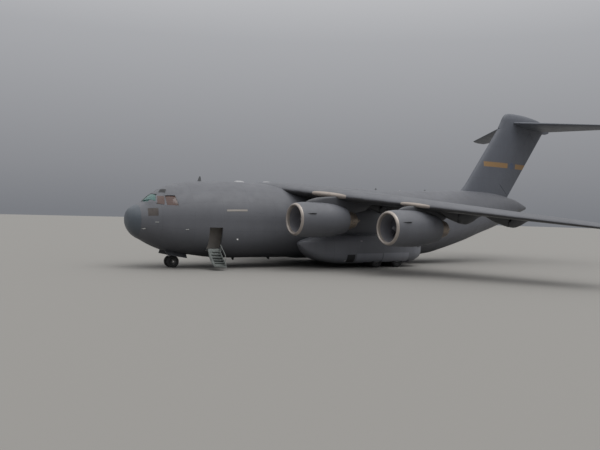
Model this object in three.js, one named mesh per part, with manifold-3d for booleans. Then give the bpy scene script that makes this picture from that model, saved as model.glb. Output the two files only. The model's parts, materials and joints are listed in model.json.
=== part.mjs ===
// A four-engine, high-wing, T-tail military transport plane, parked on its gear with its crew door open.
// Every length below is in millimetres of the full-size aircraft, x aft from the nose tip, y to starboard,
// z up from the ground. The outer group scales it to a 1:2 model and centres it over its box.
import * as THREE from "three";
import { mergeVertices } from "three/addons/utils/BufferGeometryUtils.js";
import Module from "manifold-3d";

const wasm = await Module();
wasm.setup();

// Driving dimensions
const SCALE = 0.5;
const LENGTH = 53040;
const GAP = 0.6; // between fixed neighbours
const CLEAR = 12; // round pieces that move
const WALL = 160; // fuselage skin, frame and lining
const AROUND = 28; // sides of a fuselage ring

// Joints between the fuselage's sections, along x
const RADOME_END = 860;
const COCKPIT_END = 5200;
const FORWARD_END = 12800;
const CENTRE_END = 29300;
const AFT_END = 45500;

// Cargo floor, its ramp and the door behind it
const FLOOR = { front: 5600, top: 1630, thick: 180 };
const RAMP = { rear: 35400, halfFront: 2600, halfRear: 2450, rearTop: 2300, sideGap: 20 };
const RAMP_HINGE = { x: 29306, z: 784, radius: 60, knuckles: [-900, 900], width: 160 };
const CARGO_DOOR = { rear: 41500, halfRear: 1350, thick: 140 };
const CARGO_DOOR_HINGE = { x: 41494, z: 4060, radius: 70, brackets: [-600, 600], width: 60 };
const REAR_JOINT_SLOPE = 0.5; // the joint between ramp and door leans forward going up

// Crew door on the port side, hinged at its sill
const CREW_DOOR = { front: 5960, rear: 7080, sill: 1530, top: 3450, thick: 110, opens: 112 };

// Wing: leading edge, trailing edge kink and tip
const WING = { apex: 12600, sweep: 0.5206, z: 7120, droop: 0.115, root: 2300, kink: 9000, tip: 25150 };
const WING_CHORD = { centre: 11600, kink: 7830, tip: 3200 };
const WING_THICK = { centre: 0.112, kink: 0.126, tip: 0.11 }; // shares of the chord

// Engines: inlet plane, distance from the centreline and height of the shaft
const ENGINES = [
  { name: "1", x: 16600, y: -12600, z: 3780 },
  { name: "2", x: 11900, y: -6450, z: 4290 },
  { name: "3", x: 11900, y: 6450, z: 4290 },
  { name: "4", x: 16600, y: 12600, z: 3780 },
];

// Landing gear
const NOSE_GEAR = { x: 3950, radius: 510, half: 200, track: 330, strutFoot: 1080 };
const NOSE_WELL = { front: 3100, rear: 5020, half: 540, roof: 2160, wall: 100 };
const MAIN_GEAR = {
  x: 23000,
  spacing: 2500,
  legY: -3575,
  radius: 635,
  half: 265,
  middles: [-5000, -4050, -3100],
};
const TYRE_SIDES = 14;

// Fin and stabiliser
const FIN = { leadX: 37850, leadZ: 7700, leadSlope: 0.76, chord: 7950, top: 15500, thick: 0.112 };
const STABILISER = {
  apex: 45700,
  z: 15980,
  sweep: 0.475,
  droop: 0.045,
  half: 9905,
  root: 5900,
  tip: 2050,
  thick: 0.105,
  trim: 0.1, // nose-up slope, about its pivot
  pivot: 49000,
};

// Paint and materials
const grey = paint(0x6f767b, 0.62);
const greyUnder = paint(0x5f666b, 0.66);
const radomeGrey = paint(0x555d64, 0.55);
const hotMetal = new THREE.MeshStandardMaterial({ color: 0x6d6257, roughness: 0.5, metalness: 0.85 });
const darkMetal = new THREE.MeshStandardMaterial({ color: 0x34373a, roughness: 0.45, metalness: 0.8 });
const legWhite = paint(0xb9bcbb, 0.4);
const tyreBlack = paint(0x1d1d1e, 0.85);
const glassTint = new THREE.MeshStandardMaterial({ color: 0x5b8a87, roughness: 0.08, metalness: 0 });
const interiorGrey = paint(0x7d827f, 0.8);
const stairGreen = paint(0x8a9a8e, 0.6);

function paint(color, roughness) {
  return new THREE.MeshStandardMaterial({ color, roughness, metalness: 0 });
}

// Solids and geometry

// The manifold solid of a closed three.js geometry.
function solid(geometry) {
  const bare = geometry.clone();
  bare.deleteAttribute("normal");
  bare.deleteAttribute("uv");
  const merged = mergeVertices(bare, 1e-3);
  const vertProperties = merged.attributes.position.array;
  const triVerts = new Uint32Array(merged.index.array);
  return new wasm.Manifold(new wasm.Mesh({ numProp: 3, vertProperties, triVerts }));
}

function geometryOf(body) {
  const mesh = body.getMesh();
  const geometry = new THREE.BufferGeometry();
  geometry.setAttribute("position", new THREE.BufferAttribute(mesh.vertProperties, 3));
  geometry.setIndex(new THREE.BufferAttribute(mesh.triVerts, 1));
  geometry.computeVertexNormals();
  return geometry;
}

function join(bodies) {
  return bodies.reduce((all, body) => all.add(body));
}

// A flat ring's points in two dimensions, seen along the axis that its plane faces most.
function flatten(ring) {
  const normal = new THREE.Vector3();
  ring.forEach((p, i) => normal.add(new THREE.Vector3().crossVectors(p, ring[(i + 1) % ring.length])));
  const [x, y, z] = normal.toArray().map(Math.abs);
  if (x >= y && x >= z) return ring.map((p) => new THREE.Vector2(p.y, p.z));
  if (y >= z) return ring.map((p) => new THREE.Vector2(p.z, p.x));
  return ring.map((p) => new THREE.Vector2(p.x, p.y));
}

// The triangles that close one ring, wound the way the ring runs.
function capTriangles(ring) {
  const flat = flatten(ring);
  const sign = Math.sign(THREE.ShapeUtils.area(flat));
  return THREE.ShapeUtils.triangulateShape(flat, []).map(([a, b, c]) =>
    Math.sign(THREE.ShapeUtils.area([flat[a], flat[b], flat[c]])) === sign ? [a, b, c] : [a, c, b],
  );
}

// A closed solid through rings of points that correspond one to one.
function loft(rings) {
  const count = rings[0].length;
  const faces = [];
  for (let r = 0; r + 1 < rings.length; r++) {
    for (let i = 0; i < count; i++) {
      const a = r * count + i;
      const b = r * count + ((i + 1) % count);
      faces.push([a, b, b + count], [a, b + count, a + count]);
    }
  }
  const last = (rings.length - 1) * count;
  capTriangles(rings[0]).forEach(([a, b, c]) => faces.push([a, c, b]));
  capTriangles(rings.at(-1)).forEach(([a, b, c]) => faces.push([last + a, last + b, last + c]));
  const points = rings.flat();
  const volume = faces.reduce((sum, [a, b, c]) => {
    const cross = new THREE.Vector3().crossVectors(points[b], points[c]);
    return sum + points[a].dot(cross);
  }, 0);
  const geometry = new THREE.BufferGeometry().setFromPoints(points);
  geometry.setIndex(faces.flatMap(([a, b, c]) => (volume > 0 ? [a, b, c] : [a, c, b])));
  return solid(geometry);
}

function box(x0, x1, y0, y1, z0, z1) {
  const geometry = new THREE.BoxGeometry(x1 - x0, y1 - y0, z1 - z0);
  return solid(geometry.translate((x0 + x1) / 2, (y0 + y1) / 2, (z0 + z1) / 2));
}

// Prisms of a flat outline: points are [y, z], [x, z] and [x, y].
function prismX(points, x0, x1) {
  return loft([x0, x1].map((x) => points.map(([y, z]) => new THREE.Vector3(x, y, z))));
}

function prismY(points, y0, y1) {
  return loft([y0, y1].map((y) => points.map(([x, z]) => new THREE.Vector3(x, y, z))));
}

function prismZ(points, z0, z1) {
  return loft([z0, z1].map((z) => points.map(([x, y]) => new THREE.Vector3(x, y, z))));
}

// A solid of revolution about an axis along x or y: the profile's points are [along, radius].
function turned(profile, sides, axis, turn = 0) {
  const lathe = new THREE.LatheGeometry(profile.map(([a, r]) => new THREE.Vector2(r, a)), sides);
  lathe.rotateY(turn);
  if (axis === "x") lathe.rotateZ(-Math.PI / 2);
  return solid(lathe);
}

function rod(from, to, radius, sides = 10) {
  const along = new THREE.Vector3().subVectors(to, from);
  const geometry = new THREE.CylinderGeometry(radius, radius, along.length(), sides);
  const heading = along.clone().normalize();
  const turn = new THREE.Quaternion().setFromUnitVectors(v(0, 1, 0), heading);
  geometry.applyQuaternion(turn);
  const middle = new THREE.Vector3().addVectors(from, to).multiplyScalar(0.5);
  return solid(geometry.translate(middle.x, middle.y, middle.z));
}

function v(x, y, z) {
  return new THREE.Vector3(x, y, z);
}

// The plane's group, in full-size millimetres from the nose tip
const plane = new THREE.Group();

function add(name, body, material, mirrored = false) {
  const mesh = new THREE.Mesh(geometryOf(body), material);
  mesh.name = name;
  if (mirrored) mesh.scale.y = -1;
  plane.add(mesh);
  return mesh;
}

// A piece built for the port side, and its mirror image on the starboard side.
function addPair(name, body, material) {
  add(`${name}_left`, body, material);
  add(`${name}_right`, body, material, true);
}

// Fuselage

// Stations along the fuselage: x, crown, belly, height of the widest point, half width, belly squareness
const STATIONS = [
  [0, 4200, 3690, 3945, 300, 2],
  [70, 4480, 3400, 3940, 590, 2],
  [240, 4800, 3060, 3940, 900, 2],
  [520, 5020, 2720, 3940, 1230, 2],
  [860, 5190, 2480, 3940, 1490, 2.05],
  [1240, 5390, 2290, 3940, 1740, 2.1],
  [1840, 5930, 1960, 3950, 2080, 2.2],
  [2460, 6320, 1680, 3960, 2370, 2.3],
  [3000, 6640, 1480, 3970, 2580, 2.4],
  [3750, 6930, 1310, 3970, 2830, 2.5],
  [4630, 7130, 1170, 3970, 3050, 2.6],
  [5600, 7290, 1030, 3970, 3220, 2.75],
  [7100, 7400, 850, 3970, 3370, 2.9],
  [9000, 7440, 780, 3970, 3430, 3.1],
  [26000, 7440, 780, 3970, 3430, 3.1],
  [29300, 7500, 780, 3970, 3430, 3.1],
  [31500, 7610, 960, 3990, 3400, 2.9],
  [33000, 7690, 1260, 4080, 3330, 2.7],
  [36500, 7860, 2100, 4400, 2960, 2.4],
  [39600, 7930, 2990, 4850, 2430, 2.2],
  [42900, 7810, 3920, 5350, 1780, 2.1],
  [45500, 7430, 4780, 5850, 1160, 2],
  [47500, 6960, 5600, 6220, 620, 2],
  [48900, 6460, 6060, 6260, 190, 2],
];

// The fuselage section at x: the stations on both sides, blended.
function stationAt(x) {
  const next = STATIONS.findIndex(([at]) => at >= x);
  if (next === 0) return STATIONS[0];
  const [a, b] = [STATIONS[next - 1], STATIONS[next]];
  const share = (x - a[0]) / (b[0] - a[0]);
  return a.map((value, i) => value + (b[i] - value) * share);
}

// A ring of the fuselage skin at x, moved in by inset: a half ellipse above, a squarer one below.
function skinRing(x, inset) {
  const [, crown, belly, widest, half, square] = stationAt(x);
  return Array.from({ length: AROUND }, (_, i) => {
    const angle = (2 * Math.PI * i) / AROUND;
    const [c, s] = [Math.cos(angle), Math.sin(angle)];
    if (s >= 0) return v(x, (half - inset) * c, widest + (crown - inset - widest) * s);
    const y = Math.sign(c) * Math.abs(c) ** (2 / square);
    const z = Math.abs(s) ** (2 / square);
    return v(x, (half - inset) * y, widest - (widest - belly - inset) * z);
  });
}

function hull(x0, x1, inset = 0) {
  const inner = STATIONS.map(([x]) => x).filter((x) => x > x0 + 1 && x < x1 - 1);
  return loft([x0, ...inner, x1].map((x) => skinRing(x, inset)));
}

// Height of the belly skin at x, at a distance y from the centreline
function bellyZ(x, y) {
  const [, , belly, widest, half, square] = stationAt(x);
  return widest - (widest - belly) * (1 - (Math.abs(y) / half) ** square) ** (1 / square);
}

// The whole outer form, a gap's width proud, for cutting what stands against it
const OUTSIDE = hull(0, STATIONS.at(-1)[0], -GAP);

function section(x0, x1) {
  return hull(x0 + GAP / 2, x1 - GAP / 2).subtract(hull(x0 - 10, x1 + 10, WALL));
}

// Cockpit windows: outlines of the front panes in [y, z] and of the side panes in [x, z], port side
const FRONT_PANES = [
  [[-60, 5440], [-60, 6080], [-870, 6020], [-930, 5420]],
  [[-1000, 5410], [-940, 6000], [-1330, 5850], [-1440, 5380]],
];
const SIDE_PANES = [
  [[1990, 5240], [2080, 5830], [2560, 5900], [2560, 5170]],
  [[2680, 5160], [2680, 5930], [3420, 5960], [3560, 5140]],
];
const FRONT_GLASS = [[-1560, 5340], [-1400, 5930], [-900, 6090], [900, 6090], [1400, 5930], [1560, 5340]];
const SIDE_GLASS = [[1930, 5180], [2030, 5900], [3460, 6020], [3640, 5080], [2500, 5100]];
const GLASS = { depth: 70, thick: 50 };
const NOSE_BULKHEAD = 240; // how far the cockpit's front wall reaches behind the radome

function mirrorY(points) {
  return points.map(([y, z]) => [-y, z]);
}

// A prism a little inside or outside another one, scaled about its middle
function scaled(points, by) {
  const middle = [0, 1].map((k) => points.reduce((sum, p) => sum + p[k], 0) / points.length);
  return points.map((p) => p.map((value, k) => middle[k] + (value - middle[k]) * by));
}

function windowCuts() {
  const sides = SIDE_PANES.flatMap((pane) => [prismY(pane, -3000, -1200), prismY(pane, 1200, 3000)]);
  const fronts = FRONT_PANES.flatMap((pane) => [prismX(pane, 950, 2400), prismX(mirrorY(pane), 950, 2400)]);
  return join([...fronts, ...sides]);
}

// Where the side windows sit, on both sides
function sideSeats(grow) {
  const outline = scaled(SIDE_GLASS, grow);
  return prismY(outline, -3000, -1300).add(prismY(outline, 1300, 3000));
}

function glassLayer(outer, inner) {
  return hull(900, COCKPIT_END, outer).subtract(hull(890, COCKPIT_END + 10, inner));
}

function cockpit() {
  const cavity = hull(RADOME_END + NOSE_BULKHEAD, COCKPIT_END + 10, WALL);
  const shell = hull(RADOME_END + GAP / 2, COCKPIT_END - GAP / 2).subtract(cavity);
  const seats = prismX(scaled(FRONT_GLASS, 1.002), 950, 2500).add(sideSeats(1.002));
  const rebate = hull(900, COCKPIT_END, GLASS.depth).intersect(seats);
  return shell.subtract(windowCuts()).subtract(rebate).add(noseWell(NOSE_WELL.wall)).subtract(noseWell(0));
}

// The nose gear's well, grown by its walls' thickness, and then kept within the skin and the section's ends
function noseWell(wall) {
  const { front, rear, half, roof } = NOSE_WELL;
  const room = box(front - wall, rear + wall, -half - wall, half + wall, 0, roof + wall);
  return wall ? room.intersect(hull(RADOME_END + GAP, COCKPIT_END - GAP)) : room;
}

function glazing() {
  const layer = glassLayer(GLASS.depth + GAP, GLASS.depth + GLASS.thick);
  const side = layer.intersect(prismY(SIDE_GLASS, -3000, -1301));
  const front = layer.intersect(prismX(FRONT_GLASS, 960, 2490)).subtract(sideSeats(1.004));
  return { front, side };
}

// Floor, instrument panel and two seats of the flight deck, joined by the floor
function flightDeck() {
  const seat = (y) => [
    box(2500, 3050, y - 260, y + 260, 4300, 4560),
    box(2980, 3120, y - 260, y + 260, 4500, 5250),
    box(2600, 2950, y - 120, y + 120, 4150, 4320),
  ];
  const pieces = [
    box(1200, COCKPIT_END - 100, -3000, 3000, 4050, 4200),
    box(1450, 1900, -1500, 1500, 4190, 5060),
    box(1890, 2700, -180, 180, 4190, 4620),
    ...seat(-640),
    ...seat(640),
  ];
  return join(pieces).intersect(hull(RADOME_END + NOSE_BULKHEAD + GAP, COCKPIT_END - 20, WALL + GAP));
}

function fuselageForward() {
  const doorway = box(CREW_DOOR.front, CREW_DOOR.rear, -4000, -1900, CREW_DOOR.sill, CREW_DOOR.top);
  return section(COCKPIT_END, FORWARD_END).subtract(doorway).add(doorBrackets());
}

// The centre section has its top open where the wing's centre box passes through it.
const CENTRE_BOX = { front: 15300, rear: 22300, half: 2400, bottom: 5700 };

function fuselageCentre() {
  const { front, rear, half, bottom } = CENTRE_BOX;
  const slot = box(front, rear, -half, half, bottom, 9000);
  return section(FORWARD_END, CENTRE_END).subtract(slot);
}

// Fairing over the wing's centre: x, half width, height
const FAIRING = [
  [11400, 300, 7400],
  [12600, 1300, 7570],
  [14000, 2000, 7620],
  [15400, 2300, 7600],
  [17200, 2300, 7540],
  [22000, 2300, 7520],
  [23600, 1500, 7480],
  [25000, 300, 7400],
];

function fairingRing([x, half, top]) {
  return Array.from({ length: 17 }, (_, i) => {
    const angle = (Math.PI * i) / 16;
    const s = Math.sin(angle);
    return v(x, half * Math.cos(angle), 6000 + (top - 6000) * s ** 0.35);
  });
}

function wingCentre() {
  const { front, rear, half, bottom } = CENTRE_BOX;
  const hump = loft(FAIRING.map(fairingRing)).subtract(OUTSIDE);
  const insert = box(front + GAP, rear - GAP, -half + GAP, half - GAP, bottom, 7600);
  return hump.add(insert.intersect(loft(FAIRING.map(fairingRing)).add(hull(FORWARD_END, CENTRE_END))));
}

// Openings in the aft section, in plan: ramp and cargo door, drawn in by a margin
function rearOpening(margin) {
  const { halfFront, halfRear, rear } = RAMP;
  const right = [
    [CENTRE_END - 100, halfFront - margin],
    [rear, halfRear - margin],
    [CARGO_DOOR.rear - margin, CARGO_DOOR.halfRear - margin],
  ];
  return [...right, ...right.toReversed().map(([x, y]) => [x, -y])];
}

// Paratroop doors, one on each side behind the gear pods
const SIDE_DOOR = { front: 30300, rear: 31250, sill: 1700, top: 3600, thick: 100 };

function sideDoorBox(margin) {
  const { front, rear, sill, top } = SIDE_DOOR;
  return box(front + margin, rear - margin, -4000, -2400, sill + margin, top - margin);
}

function fuselageAft() {
  const opening = prismZ(rearOpening(0), 0, 4500);
  const doors = sideDoorBox(0).add(sideDoorBox(0).mirror([0, 1, 0]));
  return section(CENTRE_END, AFT_END).subtract(opening).subtract(doors).add(cargoDoorBrackets());
}

function sideDoor() {
  const skin = hull(CENTRE_END, RAMP.rear).subtract(hull(CENTRE_END - 10, RAMP.rear + 10, SIDE_DOOR.thick));
  return skin.intersect(sideDoorBox(GAP));
}

function cargoFloor() {
  const { front, top, thick } = FLOOR;
  const slab = box(front, CENTRE_END - GAP, -3400, 3400, top - thick, top);
  const notch = box(CREW_DOOR.front - 80, CREW_DOOR.rear + 80, -3400, -2000, 0, 3000);
  return slab.intersect(hull(COCKPIT_END, CENTRE_END, WALL + GAP)).subtract(notch);
}

// The joint between ramp and cargo door at height z
function rearJoint(z) {
  return RAMP.rear - (z - bellyZ(RAMP.rear, 0)) * REAR_JOINT_SLOPE;
}

// One knuckle of a hinge along y, on either side of its middle
function knuckle({ x, z, radius }, y0, y1, grow = 0) {
  return prismY(circle(radius + grow, x, z, 12), y0, y1);
}

// Cuts room in a body for its neighbour's knuckle, and adds its own.
function swapKnuckle(body, room, own) {
  return body.subtract(knuckle(RAMP_HINGE, ...room, CLEAR)).add(knuckle(RAMP_HINGE, ...own));
}

// The ramp's hinge on the belly: each fixed knuckle lies beside one of the ramp's.
function rampHinge(fixed, ramp) {
  const { knuckles, width } = RAMP_HINGE;
  return knuckles.reduce(
    ([body, leaf], y) => [
      swapKnuckle(body, [y, y + width + CLEAR], [y - width, y]),
      swapKnuckle(leaf, [y - width - CLEAR, y + GAP], [y + GAP, y + width]),
    ],
    [fixed, ramp],
  );
}

function cargoRamp() {
  const { rearTop, sideGap } = RAMP;
  const front = CENTRE_END + CLEAR;
  const side = [
    [front, 0],
    [rearJoint(0) - CLEAR / 2, 0],
    [rearJoint(rearTop) - CLEAR / 2, rearTop],
    [front, FLOOR.top],
  ];
  const skinSide = [
    [front, 0],
    [rearJoint(0) - CLEAR / 2, 0],
    [rearJoint(4500) - CLEAR / 2, 4500],
    [front, 4500],
  ];
  const plan = prismZ(rearOpening(sideGap), 0, 4500);
  const form = hull(CENTRE_END, RAMP.rear + 1000);
  const skin = form.subtract(hull(CENTRE_END - 10, RAMP.rear + 1010, WALL));
  const outer = skin.intersect(prismY(skinSide, -3000, 3000));
  return form.intersect(prismY(side, -3000, 3000)).add(outer).intersect(plan);
}

// A plate of the cargo door's hinge: an eye round the axis and a web to its own side
function hingePlate(web, y0, y1) {
  return knuckle(CARGO_DOOR_HINGE, y0, y1).add(prismY(web, y0, y1));
}

function cargoDoor() {
  const { rear, thick } = CARGO_DOOR;
  const { x, z, brackets, width } = CARGO_DOOR_HINGE;
  const front = RAMP.rear - 1500;
  const skin = hull(front, rear).subtract(hull(front - 10, rear + 10, thick));
  const plan = prismZ(rearOpening(RAMP.sideGap), 0, 4500);
  const side = [
    [rearJoint(0) + CLEAR / 2, 0],
    [LENGTH, 0],
    [LENGTH, 4500],
    [rearJoint(4500) + CLEAR / 2, 4500],
  ];
  const web = [[x - 60, z + 30], [x - 50, z - 50], [x - 250, 3560], [x - 620, 3460]];
  const plates = brackets.map((y) => hingePlate(web, y + GAP, y + width));
  return join([skin.intersect(plan).intersect(prismY(side, -3000, 3000)), ...plates]);
}

function cargoDoorBrackets() {
  const { x, z, brackets, width } = CARGO_DOOR_HINGE;
  const web = [[x - 20, z - 60], [x + 50, z + 40], [x + 560, 3800], [x + 300, 3640], [x + 60, 3600]];
  return join(brackets.map((y) => hingePlate(web, y - width, y)));
}

// The crew door is drawn shut, with steps and a rail inside, and then swung down about its sill.
// Its hinge lies just outside the skin: rod, brackets on the fuselage and knuckles on the door.
const DOOR_HINGE = { out: 20, rod: 18, eye: 20, from: 60, bracket: 40 };
const SILL = v(0, -skinReach(CREW_DOOR.rear, CREW_DOOR.sill) - DOOR_HINGE.out, CREW_DOOR.sill);

// Distance of the skin from the centreline at x and z, below the widest point
function skinReach(x, z) {
  const [, , belly, widest, half, square] = stationAt(x);
  return half * (1 - ((widest - z) / (widest - belly)) ** square) ** (1 / square);
}

// The two brackets below the sill that carry the door's rod
function doorBrackets() {
  const { eye, from, bracket } = DOOR_HINGE;
  const outline = [
    [SILL.y - eye, SILL.z - eye],
    [SILL.y - eye, SILL.z + 5],
    [SILL.y, SILL.z + eye],
    [SILL.y + eye, SILL.z - 5],
    [SILL.y + 330, SILL.z - 12],
    [SILL.y + 330, SILL.z - 60],
  ];
  const { front, rear } = CREW_DOOR;
  const near = prismX(outline, front + from - bracket, front + from - GAP);
  return near.add(prismX(outline, rear - from + GAP, rear - from + bracket));
}

function crewDoor() {
  const { front, rear, sill, top, thick, opens } = CREW_DOOR;
  const frame = box(front + CLEAR, rear - CLEAR, -4000, -1900, sill + CLEAR, top - CLEAR);
  const skin = hull(COCKPIT_END, FORWARD_END).subtract(hull(COCKPIT_END - 10, FORWARD_END + 10, thick));
  const foot = v(0, -skinReach((front + rear) / 2, top), top);
  const along = new THREE.Vector3().subVectors(foot, SILL).normalize();
  const down = THREE.MathUtils.degToRad(opens);
  const upright = v(0, Math.sin(down), Math.cos(down)); // what stands upright once the door is down
  const at = (x, share, height) => {
    const point = SILL.clone().addScaledVector(along, share).addScaledVector(upright, height);
    return v(x, point.y, point.z);
  };
  const level = v(0, -Math.cos(down), Math.sin(down)); // what lies level once the door is down
  const inside = hull(COCKPIT_END, FORWARD_END, 50);
  const cheek = (x) => {
    const inward = v(0, along.z, -along.y);
    const corner = (share, depth) => at(x, share, 0).addScaledVector(inward, depth);
    const outline = [corner(180, -300), corner(1900, -300), corner(1900, 200), corner(260, 200)];
    return prismX(outline.map((p) => [p.y, p.z]), x - 25, x + 25).intersect(inside);
  };
  const tread = (share) => {
    const corners = [[-120, 0], [120, 0], [120, 35], [-120, 35]];
    const outline = corners.map(([out, up]) => at(0, share, 90 + up).addScaledVector(level, out));
    return prismX(outline.map((p) => [p.y, p.z]), front + 70, rear - 70);
  };
  const treads = [320, 640, 960, 1280, 1600, 1880].map(tread);
  const railX = rear - 80;
  const posts = [650, 1800].map((share) => rod(at(railX, share, 0), at(railX, share, 850), 28, 8));
  const bar = rod(at(railX, 560, 850), at(railX, 1850, 850), 28, 8);
  const { rod: rodRadius, from } = DOOR_HINGE;
  const hinge = rod(v(front + from, SILL.y, SILL.z), v(rear - from, SILL.y, SILL.z), rodRadius, 8);
  const armSide = [[-14, 0], [14, -8], [185, 90], [200, 190], [90, 190]];
  const arm = armSide.map(([y, z]) => [SILL.y + y, SILL.z + z]);
  const armPlaces = [front + from + 20, (front + rear) / 2, rear - from - 60];
  const knuckles = armPlaces.map((x) => prismX(arm, x, x + 40));
  const cheeks = [front + 80, rear - 80].map(cheek);
  // The foot's inner corner is cut off, so that it stays low at the sill when the door is down.
  const corner = [[155, -60], [276, 300], [900, 300], [900, -60]].map(([y, z]) => [SILL.y + y, SILL.z + z]);
  const leaf = skin.intersect(frame).subtract(prismX(corner, front, rear));
  const shut = join([leaf, ...cheeks, ...treads, ...posts, bar, hinge, ...knuckles]);
  const geometry = geometryOf(shut).translate(0, -SILL.y, -SILL.z).rotateX(down).translate(0, SILL.y, SILL.z);
  return solid(geometry);
}

// Gear pods: x, half height, half width, height of the middle
const POD = [
  [14200, 120, 200, 2150],
  [14900, 620, 900, 1900],
  [16200, 1100, 1650, 1750],
  [18200, 1330, 2000, 1700],
  [25900, 1330, 2020, 1700],
  [27100, 1000, 1620, 1760],
  [27900, 200, 700, 1950],
];
const POD_MIDDLE = -3600;
const POD_SIDES = 20;

function podRing([x, high, wide, middle]) {
  return Array.from({ length: POD_SIDES }, (_, i) => {
    const angle = (2 * Math.PI * i) / POD_SIDES;
    const [c, s] = [Math.cos(angle), Math.sin(angle)];
    const power = 2 / 3.6;
    const y = POD_MIDDLE + wide * Math.sign(c) * Math.abs(c) ** power;
    return v(x, y, middle + high * Math.sign(s) * Math.abs(s) ** power);
  });
}

const WELL = { front: 20350, rear: 25650, inner: -2500, outer: -5340, roof: 1950 };

function gearPod() {
  const { front, rear, inner, outer, roof } = WELL;
  return loft(POD.map(podRing)).subtract(OUTSIDE).subtract(box(front, rear, outer, inner, 0, roof));
}

// Landing gear

// One tyre's profile about its axle: distance along the axle and radius
function tyreProfile(middle, half, radius, hub) {
  const side = [
    [half * 0.5, hub],
    [half * 0.6, radius * 0.5],
    [half * 0.99, radius * 0.74],
    [half * 0.8, radius],
  ];
  const near = side.map(([a, r]) => [middle - a, r]);
  const far = side.toReversed().map(([a, r]) => [middle + a, r]);
  return [...near, ...far];
}

// Height of a wheel's centre when it rests on one of its flats
function restHeight(radius) {
  return radius * Math.cos(Math.PI / TYRE_SIDES);
}

// Wheels on one axle along y, turned as one piece
function wheelSet(middles, half, radius, axle, ends) {
  const profile = [[ends[0], 0], [ends[0], axle]];
  middles.forEach((middle) => profile.push(...tyreProfile(middle, half, radius, axle)));
  profile.push([ends[1], axle], [ends[1], 0]);
  const flatDown = Math.PI / TYRE_SIDES;
  return turned(profile, TYRE_SIDES, "y", flatDown);
}

const MAIN_AXLE = 75;
const NOSE_AXLE = 60;

// A drum about an axle along y
function drum(radius, half) {
  return turned([[-half, 0], [-half, radius], [half, radius], [half, 0]], 14, "y");
}

// A main leg: strut, collar round the axle and a drag brace
function mainLeg() {
  const axleZ = restHeight(MAIN_GEAR.radius);
  const top = WELL.roof - GAP;
  const strut = rod(v(0, 0, 170), v(0, 0, top - axleZ), 135);
  const brace = rod(v(0, 0, 620), v(620, 0, top - axleZ - 90), 60, 8);
  const pad = box(480, 760, -120, 120, top - axleZ - 150, top - axleZ);
  return join([strut, brace, pad, drum(190, 150)]).subtract(drum(MAIN_AXLE + 2, 400));
}

function noseLeg() {
  const roof = NOSE_WELL.roof - GAP;
  const strut = rod(v(0, 0, NOSE_GEAR.strutFoot), v(0, 0, roof), 130);
  const brace = rod(v(0, 0, 1500), v(780, 0, roof - 60), 55, 8);
  const pad = box(640, 900, -100, 100, roof - 140, roof);
  return join([strut, brace, pad]);
}

// The steering part: piston, collar and the axle's housing
function noseFork() {
  const axleZ = restHeight(NOSE_GEAR.radius);
  const piston = rod(v(0, 0, axleZ + 60), v(0, 0, NOSE_GEAR.strutFoot - GAP), 95);
  const collar = drum(115, 100).translate([0, 0, axleZ]);
  const bore = drum(NOSE_AXLE + 2, 300).translate([0, 0, axleZ]);
  const arm = box(80, 330, -45, 45, 760, 850).add(box(250, 330, -45, 45, 600, 850));
  return join([piston, collar, arm]).subtract(bore);
}

// A nose gear door, hanging open along its edge of the well
function noseDoor() {
  const rings = [3140, 4000, 4980].map((x) => {
    const z = bellyZ(x, 570);
    const edge = [-575, z + 60];
    const low = [-900, z - 330];
    return [edge, low, [low[0] - 28, low[1] + 24], [edge[0] - 60, edge[1]]].map(([y, h]) => v(x, y, h));
  });
  const skin = hull(RADOME_END, COCKPIT_END, -GAP);
  return loft(rings).subtract(skin).subtract(skin.mirror([0, 1, 0]));
}

// Aerofoils and wings

// Shares of the chord where an aerofoil has its points
const CHORD_SHARES = [0, 0.015, 0.07, 0.18, 0.36, 0.58, 0.8, 1];

function halfThickness(share) {
  const [a, b, c, d, e] = [0.2969, -0.126, -0.3516, 0.2843, -0.098];
  return 5 * (a * Math.sqrt(share) + b * share + c * share ** 2 + d * share ** 3 + e * share ** 4);
}

// An aerofoil as [along, across] points: trailing edge, over the top to the nose, and back below
function aerofoil(chord, thick, camber = 0) {
  const line = (s) => camber * 4 * s * (1 - s);
  const top = CHORD_SHARES.map((s) => [s * chord, (line(s) + thick * halfThickness(s)) * chord]);
  const under = CHORD_SHARES.slice(1).map((s) => [s * chord, (line(s) - thick * halfThickness(s)) * chord]);
  return [...top.toReversed(), ...under];
}

// A value given at the wing's centre, kink and tip, at y
function spanwise(values, y) {
  const { kink, tip } = WING;
  const { centre, kink: atKink, tip: atTip } = values;
  if (y < kink) return centre + ((atKink - centre) * y) / kink;
  return atKink + ((atTip - atKink) * (y - kink)) / (tip - kink);
}

function wingLead(y) {
  return v(WING.apex + WING.sweep * y, -y, WING.z - WING.droop * y);
}

const INCIDENCE = { root: 0.05, tip: 0.005 };

function wingTwist(y) {
  return INCIDENCE.root + ((INCIDENCE.tip - INCIDENCE.root) * y) / WING.tip;
}

// A ring of the wing or winglet: nose point, chord, thickness, nose-up slope and tilt of its span from level
function wingRing(lead, chord, thick, slope, tilt, camber) {
  return aerofoil(chord, thick, camber).map(([along, across]) => {
    const up = across - along * slope;
    return v(lead.x + along, lead.y + up * Math.sin(tilt), lead.z + up * Math.cos(tilt));
  });
}

// Winglet above the tip: aft shift, out, up, chord, tilt in degrees
const WINGLET = [
  [60, 170, 60, 3080, 25],
  [230, 330, 300, 2750, 55],
  [520, 440, 800, 2250, 72],
  [1560, 675, 2450, 1150, 76],
];

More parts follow.
